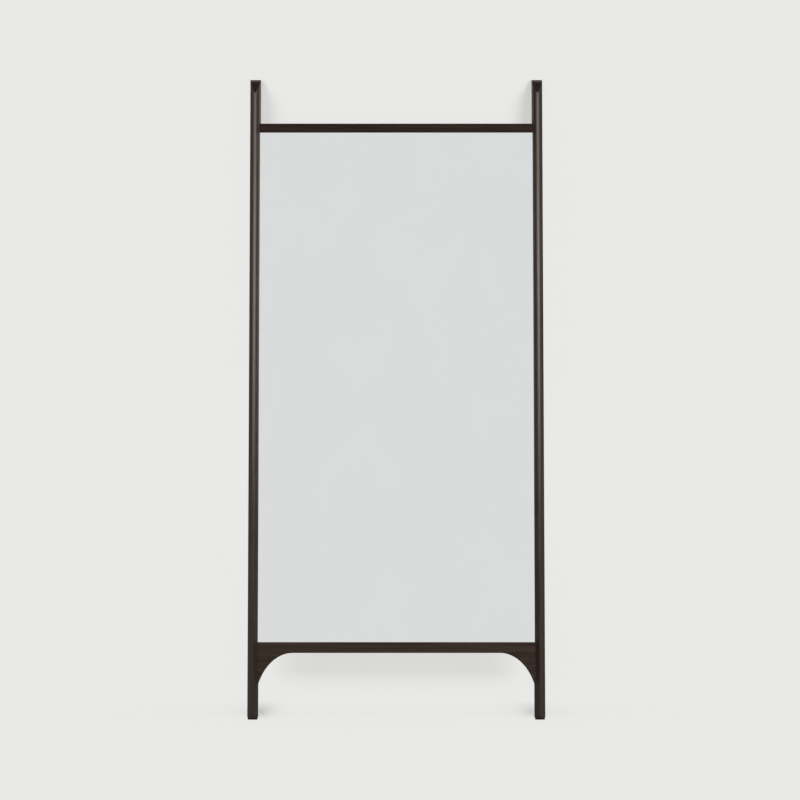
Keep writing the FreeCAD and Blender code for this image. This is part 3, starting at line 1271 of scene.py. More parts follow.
@dataclass
class Rail:
    """A rail between the posts, rounded in front, rebated behind and coped to the posts' flanks."""

    sizes: FrameSizes
    name: str
    front_radius: float = 2.5 * MM
    back_easing: float = 0.5 * MM
    strips: int = 6
    station_shares: tuple[float, ...] = (0.0, 0.25, 0.5, 0.75, 0.94)

    def upper_edge(self) -> float:
        """Height of the top of the rail."""
        return self.sizes.top_rail[1]

    def stations(self) -> list[tuple[Flat, Flat]]:
        """Places along the lower edge of the right half, as x and height, with the ways into the wood."""
        low, reach = self.sizes.top_rail[0], self.sizes.inner
        return [((reach * share, low), (0.0, 1.0)) for share in self.station_shares]

    def end(self) -> tuple[float, Flat]:
        """Height of the lower edge at the post, and the direction into the wood there."""
        return self.sizes.top_rail[0], (0.0, 1.0)

    def rebate_below(self) -> bool:
        """Whether the glass lies below this rail."""
        return True

    def section(self) -> list[tuple[float, float, bool]]:
        """The outline of the rail across its length.

        Returns:
            For each corner its depth, its distance from the edge that it belongs to, and whether
            that is the upper edge.
        """
        sizes = self.sizes
        soft = self.back_easing
        front_round = rounded_step(self.front_radius, self.strips)
        front = [(sizes.rail_front + inset, drop) for inset, drop in front_round]
        plain_back = [(sizes.rail_back - soft, 0.0), (sizes.rail_back, soft)]
        stepped = [
            (sizes.glass_front - soft, 0.0), (sizes.glass_front, soft),
            (sizes.glass_front, sizes.glass_rebate), (sizes.panel_front - soft, sizes.glass_rebate),
            (sizes.panel_front, sizes.glass_rebate + soft), (sizes.panel_front, sizes.panel_rebate),
            (sizes.rail_back - soft, sizes.panel_rebate), (sizes.rail_back, sizes.panel_rebate + soft),
        ]
        below, above = (stepped, plain_back) if self.rebate_below() else (plain_back, stepped)
        lower = [(y, gap, False) for y, gap in front + below]
        upper = [(y, gap, True) for y, gap in front + above]
        return lower + upper[::-1]

    def row(self, shaper: Shaper, x: float, low: float, into: Flat, side: Side, coped: bool) -> list[Corner]:
        """Add one ring of vertices across the rail.

        Args:
            shaper: the mesh that is being made.
            x: distance from the middle.
            low: height of the lower edge there.
            into: direction from the lower edge into the wood.
            side: which half of the rail the ring is in.
            coped: whether the ring lies on the flank of a post.

        Returns:
            The vertices.
        """
        places = []
        for y, gap, upper in self.section():
            if upper:
                at, height = x, self.upper_edge() - gap
            else:
                at, height = x + into[0] * gap, low + into[1] * gap
            if coped:
                at = self.sizes.flank_x(y)
            places.append((side.value * at, y, height))
        return shaper.row(places)

    def build(self, along: Finish) -> Piece:
        """Make the rail and dress it.

        Args:
            along: finish of the wood along the rail.

        Returns:
            The finished rail.
        """
        shaper = Shaper(self.name)
        half = self.stations()
        low, into = self.end()
        left, right = Side.LEFT, Side.RIGHT
        rows = [self.row(shaper, 0.0, low, into, left, True)]
        rows += [self.row(shaper, x, z, inner, left, False) for (x, z), inner in reversed(half[1:])]
        rows += [self.row(shaper, x, z, inner, right, False) for (x, z), inner in half]
        rows.append(self.row(shaper, 0.0, low, into, right, True))
        shaper.loft(rows)
        piece = shaper.piece(self.sizes.leaned)
        mark_rubbed_edges(piece)
        return dress(piece, self.name, (along,))


@dataclass
class ArchedRail(Rail):
    """The lower rail, whose underside sweeps down to the posts in parts of an ellipse."""

    station_shares: tuple[float, ...] = (0.0, 0.3, 0.6, 0.9)
    arch_reach: float = 96.5 * MM
    arch_drop: float = 86 * MM
    arch_sweep: float = math.radians(66.0)
    arch_strips: int = 30

    def upper_edge(self) -> float:
        """Height of the top of the rail."""
        return self.sizes.lower_rail[1]

    def rebate_below(self) -> bool:
        """Whether the glass lies below this rail."""
        return False

    def stations(self) -> list[tuple[Flat, Flat]]:
        """Places along the lower edge of the right half.

        Returns:
            Points as x and height, with the directions into the wood.
        """
        sizes = self.sizes
        wide = self.arch_reach / math.sin(self.arch_sweep)
        tall = self.arch_drop / (1 - math.cos(self.arch_sweep))
        start = sizes.inner - self.arch_reach
        low = sizes.lower_rail[0]
        places = [((start * share, low), (0.0, 1.0)) for share in self.station_shares]
        for index in range(self.arch_strips + 1):
            turn = self.arch_sweep * index / self.arch_strips
            into = Vector((tall * math.sin(turn), wide * math.cos(turn))).normalized()
            if index == self.arch_strips:
                level = Vector((0.0, 1.0))
                into = (into + level) / (1 + into.dot(level))
            point = (start + wide * math.sin(turn), low - tall * (1 - math.cos(turn)))
            places.append((point, (into.x, into.y)))
        return places

    def end(self) -> tuple[float, Flat]:
        """Height of the lower edge at the post, and the direction into the wood there."""
        return self.sizes.lower_rail[0] - self.arch_drop, (0.0, 1.0)


@dataclass
class Tenons:
    """The four loose tenons that join the rails to the posts."""

    sizes: FrameSizes
    thickness: float = 5 * MM
    rail_depth: float = 20 * MM
    top_height: float = 12 * MM
    lower_height: float = 56 * MM
    top_drop: float = 4 * MM
    lower_drop: float = 10 * MM
    mortise_wall: float = 7 * MM
    housing_margin: float = 0.7 * MM
    end_clearance: float = 1 * MM
    end_chamfer: float = 1.0 * MM
    strips: int = 10

    def ring(self, x: float, inset: float, height: float, middle: float) -> list[Point]:
        """The outline of the flat tongue with its round edges.

        Args:
            x: distance from the middle of the mirror.
            inset: how far the outline is drawn in.
            height: size of the tongue along the post.
            middle: height of its centre line.

        Returns:
            The points of the outline.
        """
        depth = (self.sizes.rail_front + self.sizes.panel_front) / 2
        radius = self.thickness / 2
        straight = height / 2 - radius
        places = []
        for end in (1, -1):
            for index in range(self.strips + 1):
                turn = math.pi * index / self.strips
                across = end * (radius - inset) * math.cos(turn)
                up = end * (straight + (radius - inset) * math.sin(turn))
                places.append((x, depth + across, middle + up))
        return places

    def build(self, finish: Finish) -> list[Piece]:
        """Make and dress all four tenons, with chamfered ends.

        Args:
            finish: the bare wood.

        Returns:
            The finished tenons.
        """
        sizes = self.sizes
        soft = self.end_chamfer
        inner = sizes.flank_x(sizes.rail_front) + self.housing_margin - self.rail_depth
        outer = sizes.width / 2 - self.mortise_wall - self.end_clearance
        stations = ((inner, soft), (inner + soft, 0.0), (outer - soft, 0.0), (outer, soft))
        heights = {"top": (self.top_height, sizes.top_rail[1] - self.top_drop),
                   "lower": (self.lower_height, sizes.lower_rail[1] - self.lower_drop)}
        made = []
        for side in Side:
            for place, (height, top) in heights.items():
                name = f"{side.label}_{place}_tenon"
                shaper = Shaper(name)
                rings = [self.ring(x, inset, height, top - height / 2) for x, inset in stations]
                shaper.loft([shaper.row(ring) for ring in rings])
                made.append(dress(shaper.piece(sizes.leaned, side), name, (finish,)))
        return made


@dataclass
class Glazing:
    """The mirror glass with its setting blocks, spacers and cushion tapes."""

    sizes: FrameSizes
    side_clearance: float = 2 * MM
    top_clearance: float = 2 * MM
    bottom_clearance: float = 3 * MM
    arris: float = 0.5 * MM
    block_length: float = 40 * MM
    block_inset: float = 190 * MM
    spacer_length: float = 30 * MM
    spacer_inset: float = 220 * MM
    tape_width: float = 12 * MM
    soft_edge: float = 0.5 * MM
    soft_strips: int = 3
    flat_on: float = 0.99
    made: list[Piece] = field(default_factory=list)

    def limits(self) -> tuple[float, float, float]:
        """The size of the glass in the opening.

        Returns:
            Half its width, and the heights of its lower and upper edges.
        """
        sizes = self.sizes
        low, high = sizes.opening(sizes.glass_rebate)
        half = sizes.inner + sizes.glass_rebate - self.side_clearance
        return half, low + self.bottom_clearance, high - self.top_clearance

    def glass_part(self, face: bpy.types.MeshPolygon) -> int:
        """Which part of the glass a face belongs to.

        Args:
            face: a face of the glass.

        Returns:
            The number of the finish for that part.
        """
        lean = self.sizes.lean
        forwards = face.normal.dot(Vector((0.0, -math.cos(lean), math.sin(lean))))
        if abs(forwards) <= self.flat_on:
            return GlassPart.EDGE.value
        return GlassPart.FRONT.value if forwards > 0 else GlassPart.BACK.value

    def glass(self, finish: SilveredGlass) -> None:
        """Make the sheet, with its silver, its ground edges and its painted back.

        Args:
            finish: the glass and its coats.
        """
        sizes = self.sizes
        half, low, high = self.limits()
        shaper = Shaper("mirror_glass")
        shaper.block((-half, half), (sizes.glass_front, sizes.glass_back), (low, high), self.arris, 1)
        finishes = (finish.edge_material(), finish.face_material(), finish.back_material())
        piece = shaper.piece(sizes.leaned)
        self.made.append(dress(piece, "mirror_glass", finishes, self.glass_part, sharp=None))

    def soft_block(self, name: str, x: Range, y: Range, z: Range, side: Side, finish: Finish) -> None:
        """Make one block or strip with soft edges.

        Args:
            name: name of the piece and of its node.
            x: limits across, on the right-hand side.
            y: limits in depth.
            z: limits along the posts.
            side: which side of the mirror it is on.
            finish: its material.
        """
        shaper = Shaper(name)
        shaper.block(x, y, z, self.soft_edge, self.soft_strips)
        self.made.append(dress(shaper.piece(self.sizes.leaned, side), name, (finish,)))

    def bedding(self, rubber: Finish, foam: Finish) -> None:
        """Make the blocks that carry and centre the glass, and the tapes behind it.

        Args:
            rubber: finish of the blocks and spacers.
            foam: finish of the tapes.
        """
        sizes = self.sizes
        half, low, high = self.limits()
        depth = (sizes.glass_front, sizes.glass_back)
        behind = (sizes.glass_back, sizes.panel_front)
        outer = half - self.block_inset
        reach = self.spacer_length / 2
        for side in Side:
            label = side.label
            self.soft_block(f"{label}_setting_block", (outer - self.block_length, outer), depth,
                            (low - self.bottom_clearance, low), side, rubber)
            for place, middle in (("lower", low + self.spacer_inset), ("upper", high - self.spacer_inset)):
                self.soft_block(f"{label}_{place}_spacer", (half, half + self.side_clearance), depth,
                                (middle - reach, middle + reach), side, rubber)
            self.soft_block(f"{label}_cushion_tape", (half - self.tape_width, half), behind,
                            (low, high), side, foam)
        inside = half - self.tape_width
        for name, start in (("lower", low), ("top", high - self.tape_width)):
            self.soft_block(f"{name}_cushion_tape", (-inside, inside), behind,
                            (start, start + self.tape_width), Side.RIGHT, foam)


@dataclass
class BackClosure:
    """The back panel and its ten pan-headed screws."""

    sizes: FrameSizes
    clearance: float = 1 * MM
    edge_easing: float = 0.5 * MM
    edge_strips: int = 3
    hole_radius: float = 2.1 * MM
    drill_reach: float = 1 * MM
    screws_per_post: int = 3
    screws_per_rail: int = 2
    end_inset: float = 150 * MM
    screw_length: float = 10 * MM
    screw_twist: float = 0.73
    shank_radius: float = 1.75 * MM
    core_radius: float = 1.2 * MM
    thread_pitch: float = 1.6 * MM
    thread_strips: int = 6
    thread_angle: float = 3.2
    thread_start: Range = (0.5 * MM, 2.0 * MM)
    tip_length: float = 3 * MM
    tip_share: float = 0.05
    head_radius: float = 3.5 * MM
    head_height: float = 2.0 * MM
    head_rim: float = 0.6 * MM
    head_flat: float = 0.22
    head_strips: int = 7
    seat_easing: float = 0.1 * MM
    recess_reach: float = 1.75 * MM
    recess_width: float = 0.7 * MM
    recess_depth: float = 1.3 * MM
    recess_tapers: Flat = (1.25, 0.45)
    turns: int = 24

    def places(self) -> list[Flat]:
        """Where the screws stand, on a line round the edge of the panel.

        Returns:
            Points as x and height.
        """
        sizes = self.sizes
        line = (sizes.glass_rebate + sizes.panel_rebate) / 2
        side = sizes.inner + line
        low, high = sizes.opening(line)
        reach = side - self.end_inset
        run = high - low - 2 * self.end_inset
        heights = [low + self.end_inset + run * share for share in shares(self.screws_per_post - 1)]
        widths = [2 * reach * share - reach for share in shares(self.screws_per_rail - 1)]
        on_posts = [(x, z) for x in (-side, side) for z in heights]
        return on_posts + [(x, z) for x in widths for z in (low, high)]

    def circle(self) -> list[float]:
        """Angles of the points round a screw or its hole."""
        return [CIRCLE * index / self.turns for index in range(self.turns)]

    def panel(self, finish: Finish) -> Piece:
        """Make the panel with a hole for each screw.

        Args:
            finish: the board's material.

        Returns:
            The finished panel.
        """
        sizes = self.sizes
        reach = sizes.panel_rebate - self.clearance
        half = sizes.inner + reach
        depth = (sizes.panel_front, sizes.panel_back)
        shaper = Shaper("back_panel")
        shaper.block((-half, half), depth, sizes.opening(reach), self.edge_easing, self.edge_strips)
        piece = shaper.piece(sizes.leaned)
        drill = Shaper("drill")
        radius = self.hole_radius
        rim = [(radius * math.cos(turn), radius * math.sin(turn)) for turn in self.circle()]
        ends = (sizes.panel_front - self.drill_reach, sizes.panel_back + self.drill_reach)
        for x, z in self.places():
            drill.loft([drill.row([(x + across, y, z + up) for across, up in rim]) for y in ends])
        carve(piece, [drill.piece(sizes.leaned)])
        return dress(piece, "back_panel", (finish,))

    def thread(self, depth: float, turn: float) -> float:
        """Radius of the threaded shank.

        Args:
            depth: distance below the seat of the head.
            turn: angle round the screw.

        Returns:
            The distance of the surface from the screw's axis.
        """
        phase = (depth / self.thread_pitch + turn / CIRCLE) % 1.0
        crest = max(0.0, 1.0 - abs(phase - 0.5) * self.thread_angle)
        point = min(1.0, max(self.tip_share, (self.screw_length - depth) / self.tip_length))
        proud = (self.shank_radius - self.core_radius) * crest * within(depth, *self.thread_start)
        return (self.core_radius + proud) * point

    def profile(self) -> list[tuple[Callable[[float], float], float]]:
        """The rows of a screw, from the middle of its head to its tip.

        Returns:
            For each row its radius at an angle, and its height above the seat of the head.
        """
        dome = self.head_height - self.head_rim
        head = [(self.head_radius * self.head_flat, self.head_height)]
        for index in range(1, self.head_strips):
            head.append((self.head_radius * math.sin(QUARTER * (index + 1) / self.head_strips),
                         self.head_rim + dome * math.cos(QUARTER * index / self.head_strips)))
        head += [(self.head_radius, self.head_rim), (self.head_radius, self.seat_easing),
                 (self.head_radius - self.seat_easing, 0.0), (self.core_radius, 0.0)]
        rows = [(lambda turn, radius=radius: radius, z) for radius, z in head]
        steps = int(self.screw_length / (self.thread_pitch / self.thread_strips))
        for index in range(1, steps + 1):
            depth = self.screw_length * index / steps
            rows.append((lambda turn, depth=depth: self.thread(depth, turn), -depth))
        return rows

    def pattern(self) -> Piece:
        """Make one screw with its head upwards and its seat at z = 0.

        Returns:
            The screw, which the others are copied from.
        """
        shaper = Shaper("screw_pattern")
        shaper.loft([shaper.row([(radius(turn) * math.cos(turn), radius(turn) * math.sin(turn), z)
                                 for turn in self.circle()]) for radius, z in self.profile()])
        piece = shaper.piece()
        carve(piece, [self.recess(along) for along in (True, False)])
        return piece

    def recess(self, along: bool) -> Piece:
        """Make one arm of the cross in the head, narrower towards its bottom.

        Args:
            along: whether the arm lies along x.

        Returns:
            The cutter for that arm.
        """
        shaper = Shaper("recess")
        width = self.recess_width / 2
        lifts = (self.head_height + self.drill_reach, self.head_height - self.recess_depth)
        rows = []
        for lift, taper in zip(lifts, self.recess_tapers):
            reach = self.recess_reach * taper
            corners = ((reach, width), (-reach, width), (-reach, -width), (reach, -width))
            rows.append(shaper.row([(x, y, lift) if along else (y, x, lift) for x, y in corners]))
        shaper.loft(rows)
        return shaper.piece()

    def screws(self, finish: Finish) -> Piece:
        """Make the ten screws as one piece, each turned a little differently.

        Args:
            finish: the plated steel.

        Returns:
            The finished screws.
        """
        pattern = self.pattern()
        shaper = Shaper("back_panel_screws")
        backwards = Matrix.Rotation(-QUARTER, 4, "X")
        for index, (x, z) in enumerate(self.places()):
            turned = Matrix.Rotation(index * self.screw_twist, 4, "Z")
            start = len(shaper.mesh.verts)
            shaper.mesh.from_mesh(pattern.data)
            shaper.mesh.verts.ensure_lookup_table()
            place = Matrix.Translation((x, self.sizes.panel_back, z)) @ backwards @ turned
            for vertex in shaper.mesh.verts[start:]:
                vertex.co = place @ vertex.co
        bpy.data.objects.remove(pattern)
        return dress(shaper.piece(self.sizes.leaned), "back_panel_screws", (finish,))


@dataclass
class Pads:
    """The rubber pads under the feet and the felt pads against the wall."""

    sizes: FrameSizes
    foot_width: float = 27 * MM
    foot_depth: float = 18 * MM
    foot_inset: float = 1 * MM
    foot_corner: float = 4 * MM
    foot_easing: float = 0.7 * MM
    easing_strips: int = 4
    corner_strips: int = 6
    felt_width: float = 22 * MM
    felt_corner: float = 3 * MM
    felt_rows: int = 30
    felt_columns: int = 18
    felt_sharp: float = 60.0
    nap_depth: float = 0.12 * MM
    nap_size: float = 2.2 * MM
    worn_depth: float = 0.35 * MM
    worn_reach: float = 1.5 * MM

    def foot_ring(self, inset: float, height: Callable[[float], float]) -> list[Point]:
        """The outline of a foot pad with its round corners.

        Args:
            inset: how far the outline is drawn in.
            height: height of the outline at a depth.

        Returns:
            The points of the outline on the right-hand side.
        """
        radius = self.foot_corner - inset
        across = self.foot_width / 2 - inset - radius
        back = -self.foot_inset - inset - radius
        front = radius + inset - self.foot_inset - self.foot_depth
        corners = ((across, back), (-across, back), (-across, front), (across, front))
        places = []
        for index, (x, y) in enumerate(corners):
            for share in shares(self.corner_strips):
                turn = QUARTER * (index + share)
                depth = y + radius * math.sin(turn)
                places.append((self.sizes.centre + x + radius * math.cos(turn), depth, height(depth)))
        return places

    def foot(self, side: Side, finish: Finish) -> Piece:
        """Make the wedge-shaped pad under one foot.

        Args:
            side: which foot.
            finish: the rubber.

        Returns:
            The finished pad.
        """
        sizes = self.sizes
        name = f"{side.label}_foot_pad"
        shaper = Shaper(name)
        fall = math.tan(sizes.lean)
        steps = rounded_step(self.foot_easing, self.easing_strips)
        rings = [self.foot_ring(inset, lambda y, drop=drop: y * fall + drop)
                 for inset, drop in reversed(steps)]
        rings += [self.foot_ring(inset, lambda y, drop=drop: sizes.post_foot - drop)
                  for inset, drop in steps]
        shaper.loft([shaper.row(ring) for ring in rings])
        return dress(shaper.piece(sizes.leaned, side), name, (finish,))

    def felt_grid(self, low: float, height: float) -> list[list[Point]]:
        """The rows of points over one face of a felt pad, with its corners cut.

        Args:
            low: height of the lower edge.
            height: height of the pad.

        Returns:
            Rows of points as x, height and distance from the cut edge.
        """
        grid = []
        for up in shares(self.felt_rows):
            edge = min(up, 1 - up) * height
            half = self.felt_width / 2 - max(0.0, self.felt_corner - edge)
            line = []
            for column in range(self.felt_columns + 1):
                across = 2 * column / self.felt_columns - 1
                inside = min(edge, half * (1 - abs(across)))
                line.append((self.sizes.centre + across * half, low + up * height, inside))
            grid.append(line)
        return grid

    def nap(self, x: float, z: float, edge: float) -> float:
        """Thickness of the felt, less at its cut edge and uneven as wool is.

        Args:
            x: place across.
            z: height.
            edge: distance from the cut edge.

        Returns:
            The thickness there.
        """
        rough = self.nap_depth * noise.noise(Vector((x, 0.0, z)) / self.nap_size) - self.nap_depth
        worn = self.worn_depth * max(0.0, 1 - edge / self.worn_reach)
        return self.sizes.wall_pad + rough - worn

    def felt(self, side: Side, finish: Finish) -> Piece:
        """Make the felt pad on the bevel of one post.

        Args:
            side: which post.
            finish: the felt.

        Returns:
            The finished pad.
        """
        name = f"{side.label}_wall_pad"
        low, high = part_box(name)
        grid = self.felt_grid(low.z, high.z - low.z)
        shaper = Shaper(name)
        glued = [shaper.row([(x, low.y, z) for x, z, _ in line]) for line in grid]
        outer = [shaper.row([(x, low.y + self.nap(x, z, edge), z) for x, z, edge in line]) for line in grid]
        rims = []
        for sheet in (glued, outer):
            shaper.loft(sheet, closed=False, capped=False)
            rims.append(sheet[0] + [line[-1] for line in sheet[1:-1]] + sheet[-1][::-1]
                        + [line[0] for line in reversed(sheet[1:-1])])
        shaper.bridge(*rims)
        return dress(shaper.piece(Vector, side), name, (finish,), sharp=self.felt_sharp)


@dataclass(frozen=True)
class Wash:
    """Broad even light on the backdrop from one direction, in degrees to the right and upwards."""

    name: str
    turn: float
    rise: float
    spread: float
    strength: float

    def source(self) -> Vector:
        """Direction towards the light."""
        turn, rise = math.radians(self.turn), math.radians(self.rise)
        return Vector((math.sin(turn) * math.cos(rise), -math.cos(turn) * math.cos(rise), math.sin(rise)))


def wash_pair(name: str, turn: float, rise: float, spread: float, strengths: Flat) -> dict[Side, Wash]:
    """Two washes that come from opposite sides.

    Args:
        name: what they wash.
        turn: how far to the side they stand, in degrees.
        rise: how high they stand, in degrees.
        spread: how wide each looks from the mirror, in degrees.
        strengths: strength of the right one and of the left one.

    Returns:
        One wash for each side.
    """
    return {side: Wash(f"{side.label}_{name}", turn * side.value, rise, spread, strength)
            for side, strength in zip(Side, strengths)}


@dataclass
class Studio:
    """Pale floor that sweeps up into a wall, soft light from both front sides, and the camera."""

    sizes: FrameSizes
    upright: dict[Side, list[Piece]]
    clear: list[Piece]
    pale: Colour = (0.8148, 0.8148, 0.7991)
    paint: Colour = (0.85, 0.85, 0.834)
    paint_grain: float = 40 * MM
    paint_shade: float = 0.995
    paint_roughness: float = 0.9
    shade_shares: tuple[Flat, ...] = ((0.0, 0.2), (0.008, 0.55), (0.017, 0.8), (0.03, 0.45), (0.044, 0.03),
                                       (0.08, 0.08), (0.12, 0.115), (0.17, 0.125), (0.45, 0.125),
                                       (0.72, 0.0), (0.8, 0.0), (1.0, 0.125))
    wall_gap: float = 0.2 * MM
    sweep_start: float = -56 * MM
    sweep_height: float = 1.2
    band_edges: Flat = (55 * MM, 760 * MM)
    band_strips: int = 24
    stage_reach: float = 30.0
    world_strength: float = 0.35
    camera_distance: float = 7.2
    camera_height: float = 0.889
    camera_reach: float = 100.0
    sensor_width: float = 36.0
    focal_pixels: float = 2561.4
    image_width: float = 800.0
    middle_pixel: float = 396.29
    box_size: Flat = (0.8, 1.6)
    box_place: Point = (1.85, -2.8, 2.05)
    right_power: float = 78.0
    left_power: float = 34.0
    back_box_size: Flat = (2.0, 1.2)
    back_box_place: Point = (0.0, 3.0, 2.4)
    back_power: float = 60.0
    side_washes: dict[Side, Wash] = field(
        default_factory=lambda: wash_pair("wash", 50.0, 18.0, 28.0, (9.6, 7.1)))
    foot_washes: dict[Side, Wash] = field(
        default_factory=lambda: wash_pair("foot_wash", 35.0, 18.0, 36.0, (0.85, 1.2)))
    rail_washes: dict[Side, Wash] = field(
        default_factory=lambda: wash_pair("rail_wash", 57.0, 45.0, 25.0, (6.6, 6.6)))
    sheets: list[Piece] = field(default_factory=list)

    def backdrop_material(self, name: str, washes: Sequence[Wash], see_through: bool) -> Finish:
        """A matt paint that keeps shadows and is evenly pale to the camera however it faces the light.

        Args:
            name: name of the material.
            washes: the lights on the sheet that gets this paint.
            see_through: whether the paint isn't seen from behind.

        Returns:
            A new material.
        """
        coat = Coat(name)
        geometry = coat.add("NewGeometry")
        place = coat.add("SeparateXYZ")
        coat.join(geometry.outputs["Position"], place.inputs[0])
        share = coat.ramp(place.outputs["Z"], [(height, (value,) * 3) for height, value in self.shade_shares])
        grain = coat.noise(self.paint_grain, 3.0, 0.5)
        paint = coat.ramp(grain, [(0.3, shaded(self.paint, self.paint_shade)), (0.7, self.paint)])
        coat.join(coat.mix(share, (0.0, 0.0, 0.0), paint), coat.shader.inputs["Base Color"])
        light = sum((wash.source() * (wash.strength / math.pi) for wash in washes), Vector())
        facing = coat.add("VectorMath", {1: light * -max(self.paint)}, operation="DOT_PRODUCT")
        coat.join(geometry.outputs["Normal"], facing.inputs[0])
        lack = coat.maths("SUBTRACT", facing.outputs["Value"], max(self.paint) * self.world_strength)
        glow = coat.maths("ADD", coat.maths("MULTIPLY", lack, share), max(self.pale))
        path = coat.add("LightPath")
        seen = coat.maths("MAXIMUM", path.outputs["Is Camera Ray"], path.outputs["Is Glossy Ray"])
        seen = coat.maths("MAXIMUM", seen, path.outputs["Is Transmission Ray"])
        coat.join(coat.maths("MULTIPLY", glow, seen), coat.shader.inputs["Emission Strength"])
        tint = tuple(value / max(self.pale) for value in self.pale)
        coat.set(Roughness=self.paint_roughness, Specular_IOR_Level=0.0, Emission_Color=(*tint, 1.0))
        last = coat.shader.outputs[0]
        if see_through:
            clear = coat.add("BsdfTransparent")
            hide = coat.add("MixShader")
            coat.join(geometry.outputs["Backfacing"], hide.inputs[0])
            coat.join(last, hide.inputs[1])
            coat.join(clear.outputs[0], hide.inputs[2])
            last = hide.outputs[0]
        coat.join(last, coat.tree.nodes["Material Output"].inputs["Surface"])
        return coat.material

    def sweep_band(self, name: str, wall: float, across: Range, start: float, end: float) -> Piece:
        """One band of the paper that sweeps up behind the feet and then hangs on the wall.

        Args:
            name: name of the band.
            wall: distance of the wall.
            across: where it starts and ends across the picture.
            start: height of its lower edge.
            end: height of its upper edge.

        Returns:
            The band.
        """
        band = Shaper(name)
        bend = min(end, self.sweep_height)
        heights = [start + (bend - start) * share ** 2 for share in shares(self.band_strips)]
        if end > bend:
            heights.append(end)
        rows = []
        for height in heights:
            rest = 1 - min(1.0, height / self.sweep_height)
            y = self.sweep_start + (wall - self.sweep_start) * math.sqrt(1 - rest * rest)
            rows.append(band.row([(x, y, height) for x in across]))
        band.loft(rows, closed=False, capped=False)
        return band.piece()

    def backdrop(self) -> None:
        """Lay the floor and hang the paper that the mirror leans on, in bands that are lit apart."""
        reach = self.stage_reach
        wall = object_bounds()[1].y + self.wall_gap
        floor = Shaper("studio_floor")
        corners = ((-reach, -reach), (reach, -reach), (reach, reach), (-reach, reach))
        floor.face(floor.row([(x, y, 0.0) for x, y in corners]))
        low, high = self.band_edges
        whole = (-reach, reach)
        bands = (("low_sweep", whole, 0.0, low), ("right_sweep", (0.0, reach), low, high),
                 ("left_sweep", (-reach, 0.0), low, high), ("high_sweep", whole, high, reach))
        self.sheets = [floor.piece(), *(self.sweep_band(name, wall, *limits) for name, *limits in bands)]
        foot, rail, side = (list(washes.values())
                            for washes in (self.foot_washes, self.rail_washes, self.side_washes))
        towards = Vector((0.0, -1.0, 1.0))
        for sheet, washes in zip(self.sheets, (foot, foot, rail[:1], rail[1:], side)):
            paint = self.backdrop_material(sheet.name + "_paint", washes, sheet is not self.sheets[0])
            sheet.data.materials.append(paint)
            if sheet.data.polygons[0].normal.dot(towards) < 0:
                sheet.data.flip_normals()
            sheet.data.shade_smooth()
            sheet.visible_diffuse = False
            sheet.visible_shadow = False
            sheet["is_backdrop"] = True

    def air(self) -> None:
        """Set the even light of the room, which the camera and the mirror see as pale."""
        world = bpy.data.worlds.new("studio_air")
        bpy.context.scene.world = world
        world.use_nodes = True
        tree = world.node_tree
        lit = tree.nodes["Background"]
        lit.inputs["Color"].default_value = (1.0, 1.0, 1.0, 1.0)
        lit.inputs["Strength"].default_value = self.world_strength
        seen = tree.nodes.new("ShaderNodeBackground")
        seen.inputs["Color"].default_value = (*self.pale, 1.0)
        path = tree.nodes.new("ShaderNodeLightPath")
        blend = tree.nodes.new("ShaderNodeMixShader")
        either = path.outputs["Is Camera Ray"]
        for name in ("Is Glossy Ray", "Is Transmission Ray"):
            larger = tree.nodes.new("ShaderNodeMath")
            larger.operation = "MAXIMUM"
            tree.links.new(either, larger.inputs[0])
            tree.links.new(path.outputs[name], larger.inputs[1])
            either = larger.outputs[0]
        for source, target in zip((either, lit.outputs[0], seen.outputs[0]), blend.inputs):
            tree.links.new(source, target)
        tree.links.new(blend.outputs[0], tree.nodes["World Output"].inputs["Surface"])

    def group(self, name: str, pieces: Sequence[Piece], state: str) -> bpy.types.Collection:
        """A set of pieces that a lamp lights, leaves out or is shaded by.

        Args:
            name: name of the set.
            pieces: what is in it.
            state: INCLUDE for only these pieces, EXCLUDE for all others.

        Returns:
            The set, ready to be linked to a lamp.
        """
        made = bpy.data.collections.new(name)
        for piece in pieces:
            made.objects.link(piece)
        for entry in made.collection_objects:
            entry.light_linking.link_state = state
        return made

    def stand(self, lamp: bpy.types.Light, aim: Vector) -> Piece:
        """Put a lamp in the scene.

        Args:
            lamp: the lamp.
            aim: the way that it shines.

        Returns:
            The stand that holds the lamp.
        """
        made = bpy.data.objects.new(lamp.name, lamp)
        made.rotation_mode = "QUATERNION"
        made.rotation_quaternion = aim.to_track_quat("-Z", "Y")
        bpy.context.scene.collection.objects.link(made)
        return made

    def soft_box(self, name: str, size: Flat, place: Point, power: float) -> None:
        """Set up a soft box that lights the mirror and leaves the floor and the wall alone.

        Args:
            name: name of the lamp.
            size: its width and height.
            place: where it stands.
            power: its strength in watts.
        """
        lamp = bpy.data.lights.new(name, "AREA")
        lamp.shape = "RECTANGLE"
        lamp.size, lamp.size_y = size
        lamp.energy = power
        box = self.stand(lamp, Vector((0.0, 0.0, self.sizes.height / 2)) - Vector(place))
        box.location = place
        box.light_linking.receiver_collection = self.group(name + "_leaves_out", self.sheets, "EXCLUDE")

    def wash(self, wash: Wash, sheets: Sequence[Piece], casters: Sequence[Piece]) -> None:
        """Set up a broad light that washes only the backdrop.

        Args:
            wash: where it comes from and how strong it is.
            sheets: the parts of the backdrop that it lights.
            casters: the pieces that throw a shadow in it.
        """
        lamp = bpy.data.lights.new(wash.name, "SUN")
        lamp.energy = wash.strength
        lamp.angle = math.radians(wash.spread)
        links = self.stand(lamp, -wash.source()).light_linking
        links.receiver_collection = self.group(wash.name + "_lights", sheets, "INCLUDE")
        links.blocker_collection = self.group(wash.name + "_shaded_by", casters, "INCLUDE")

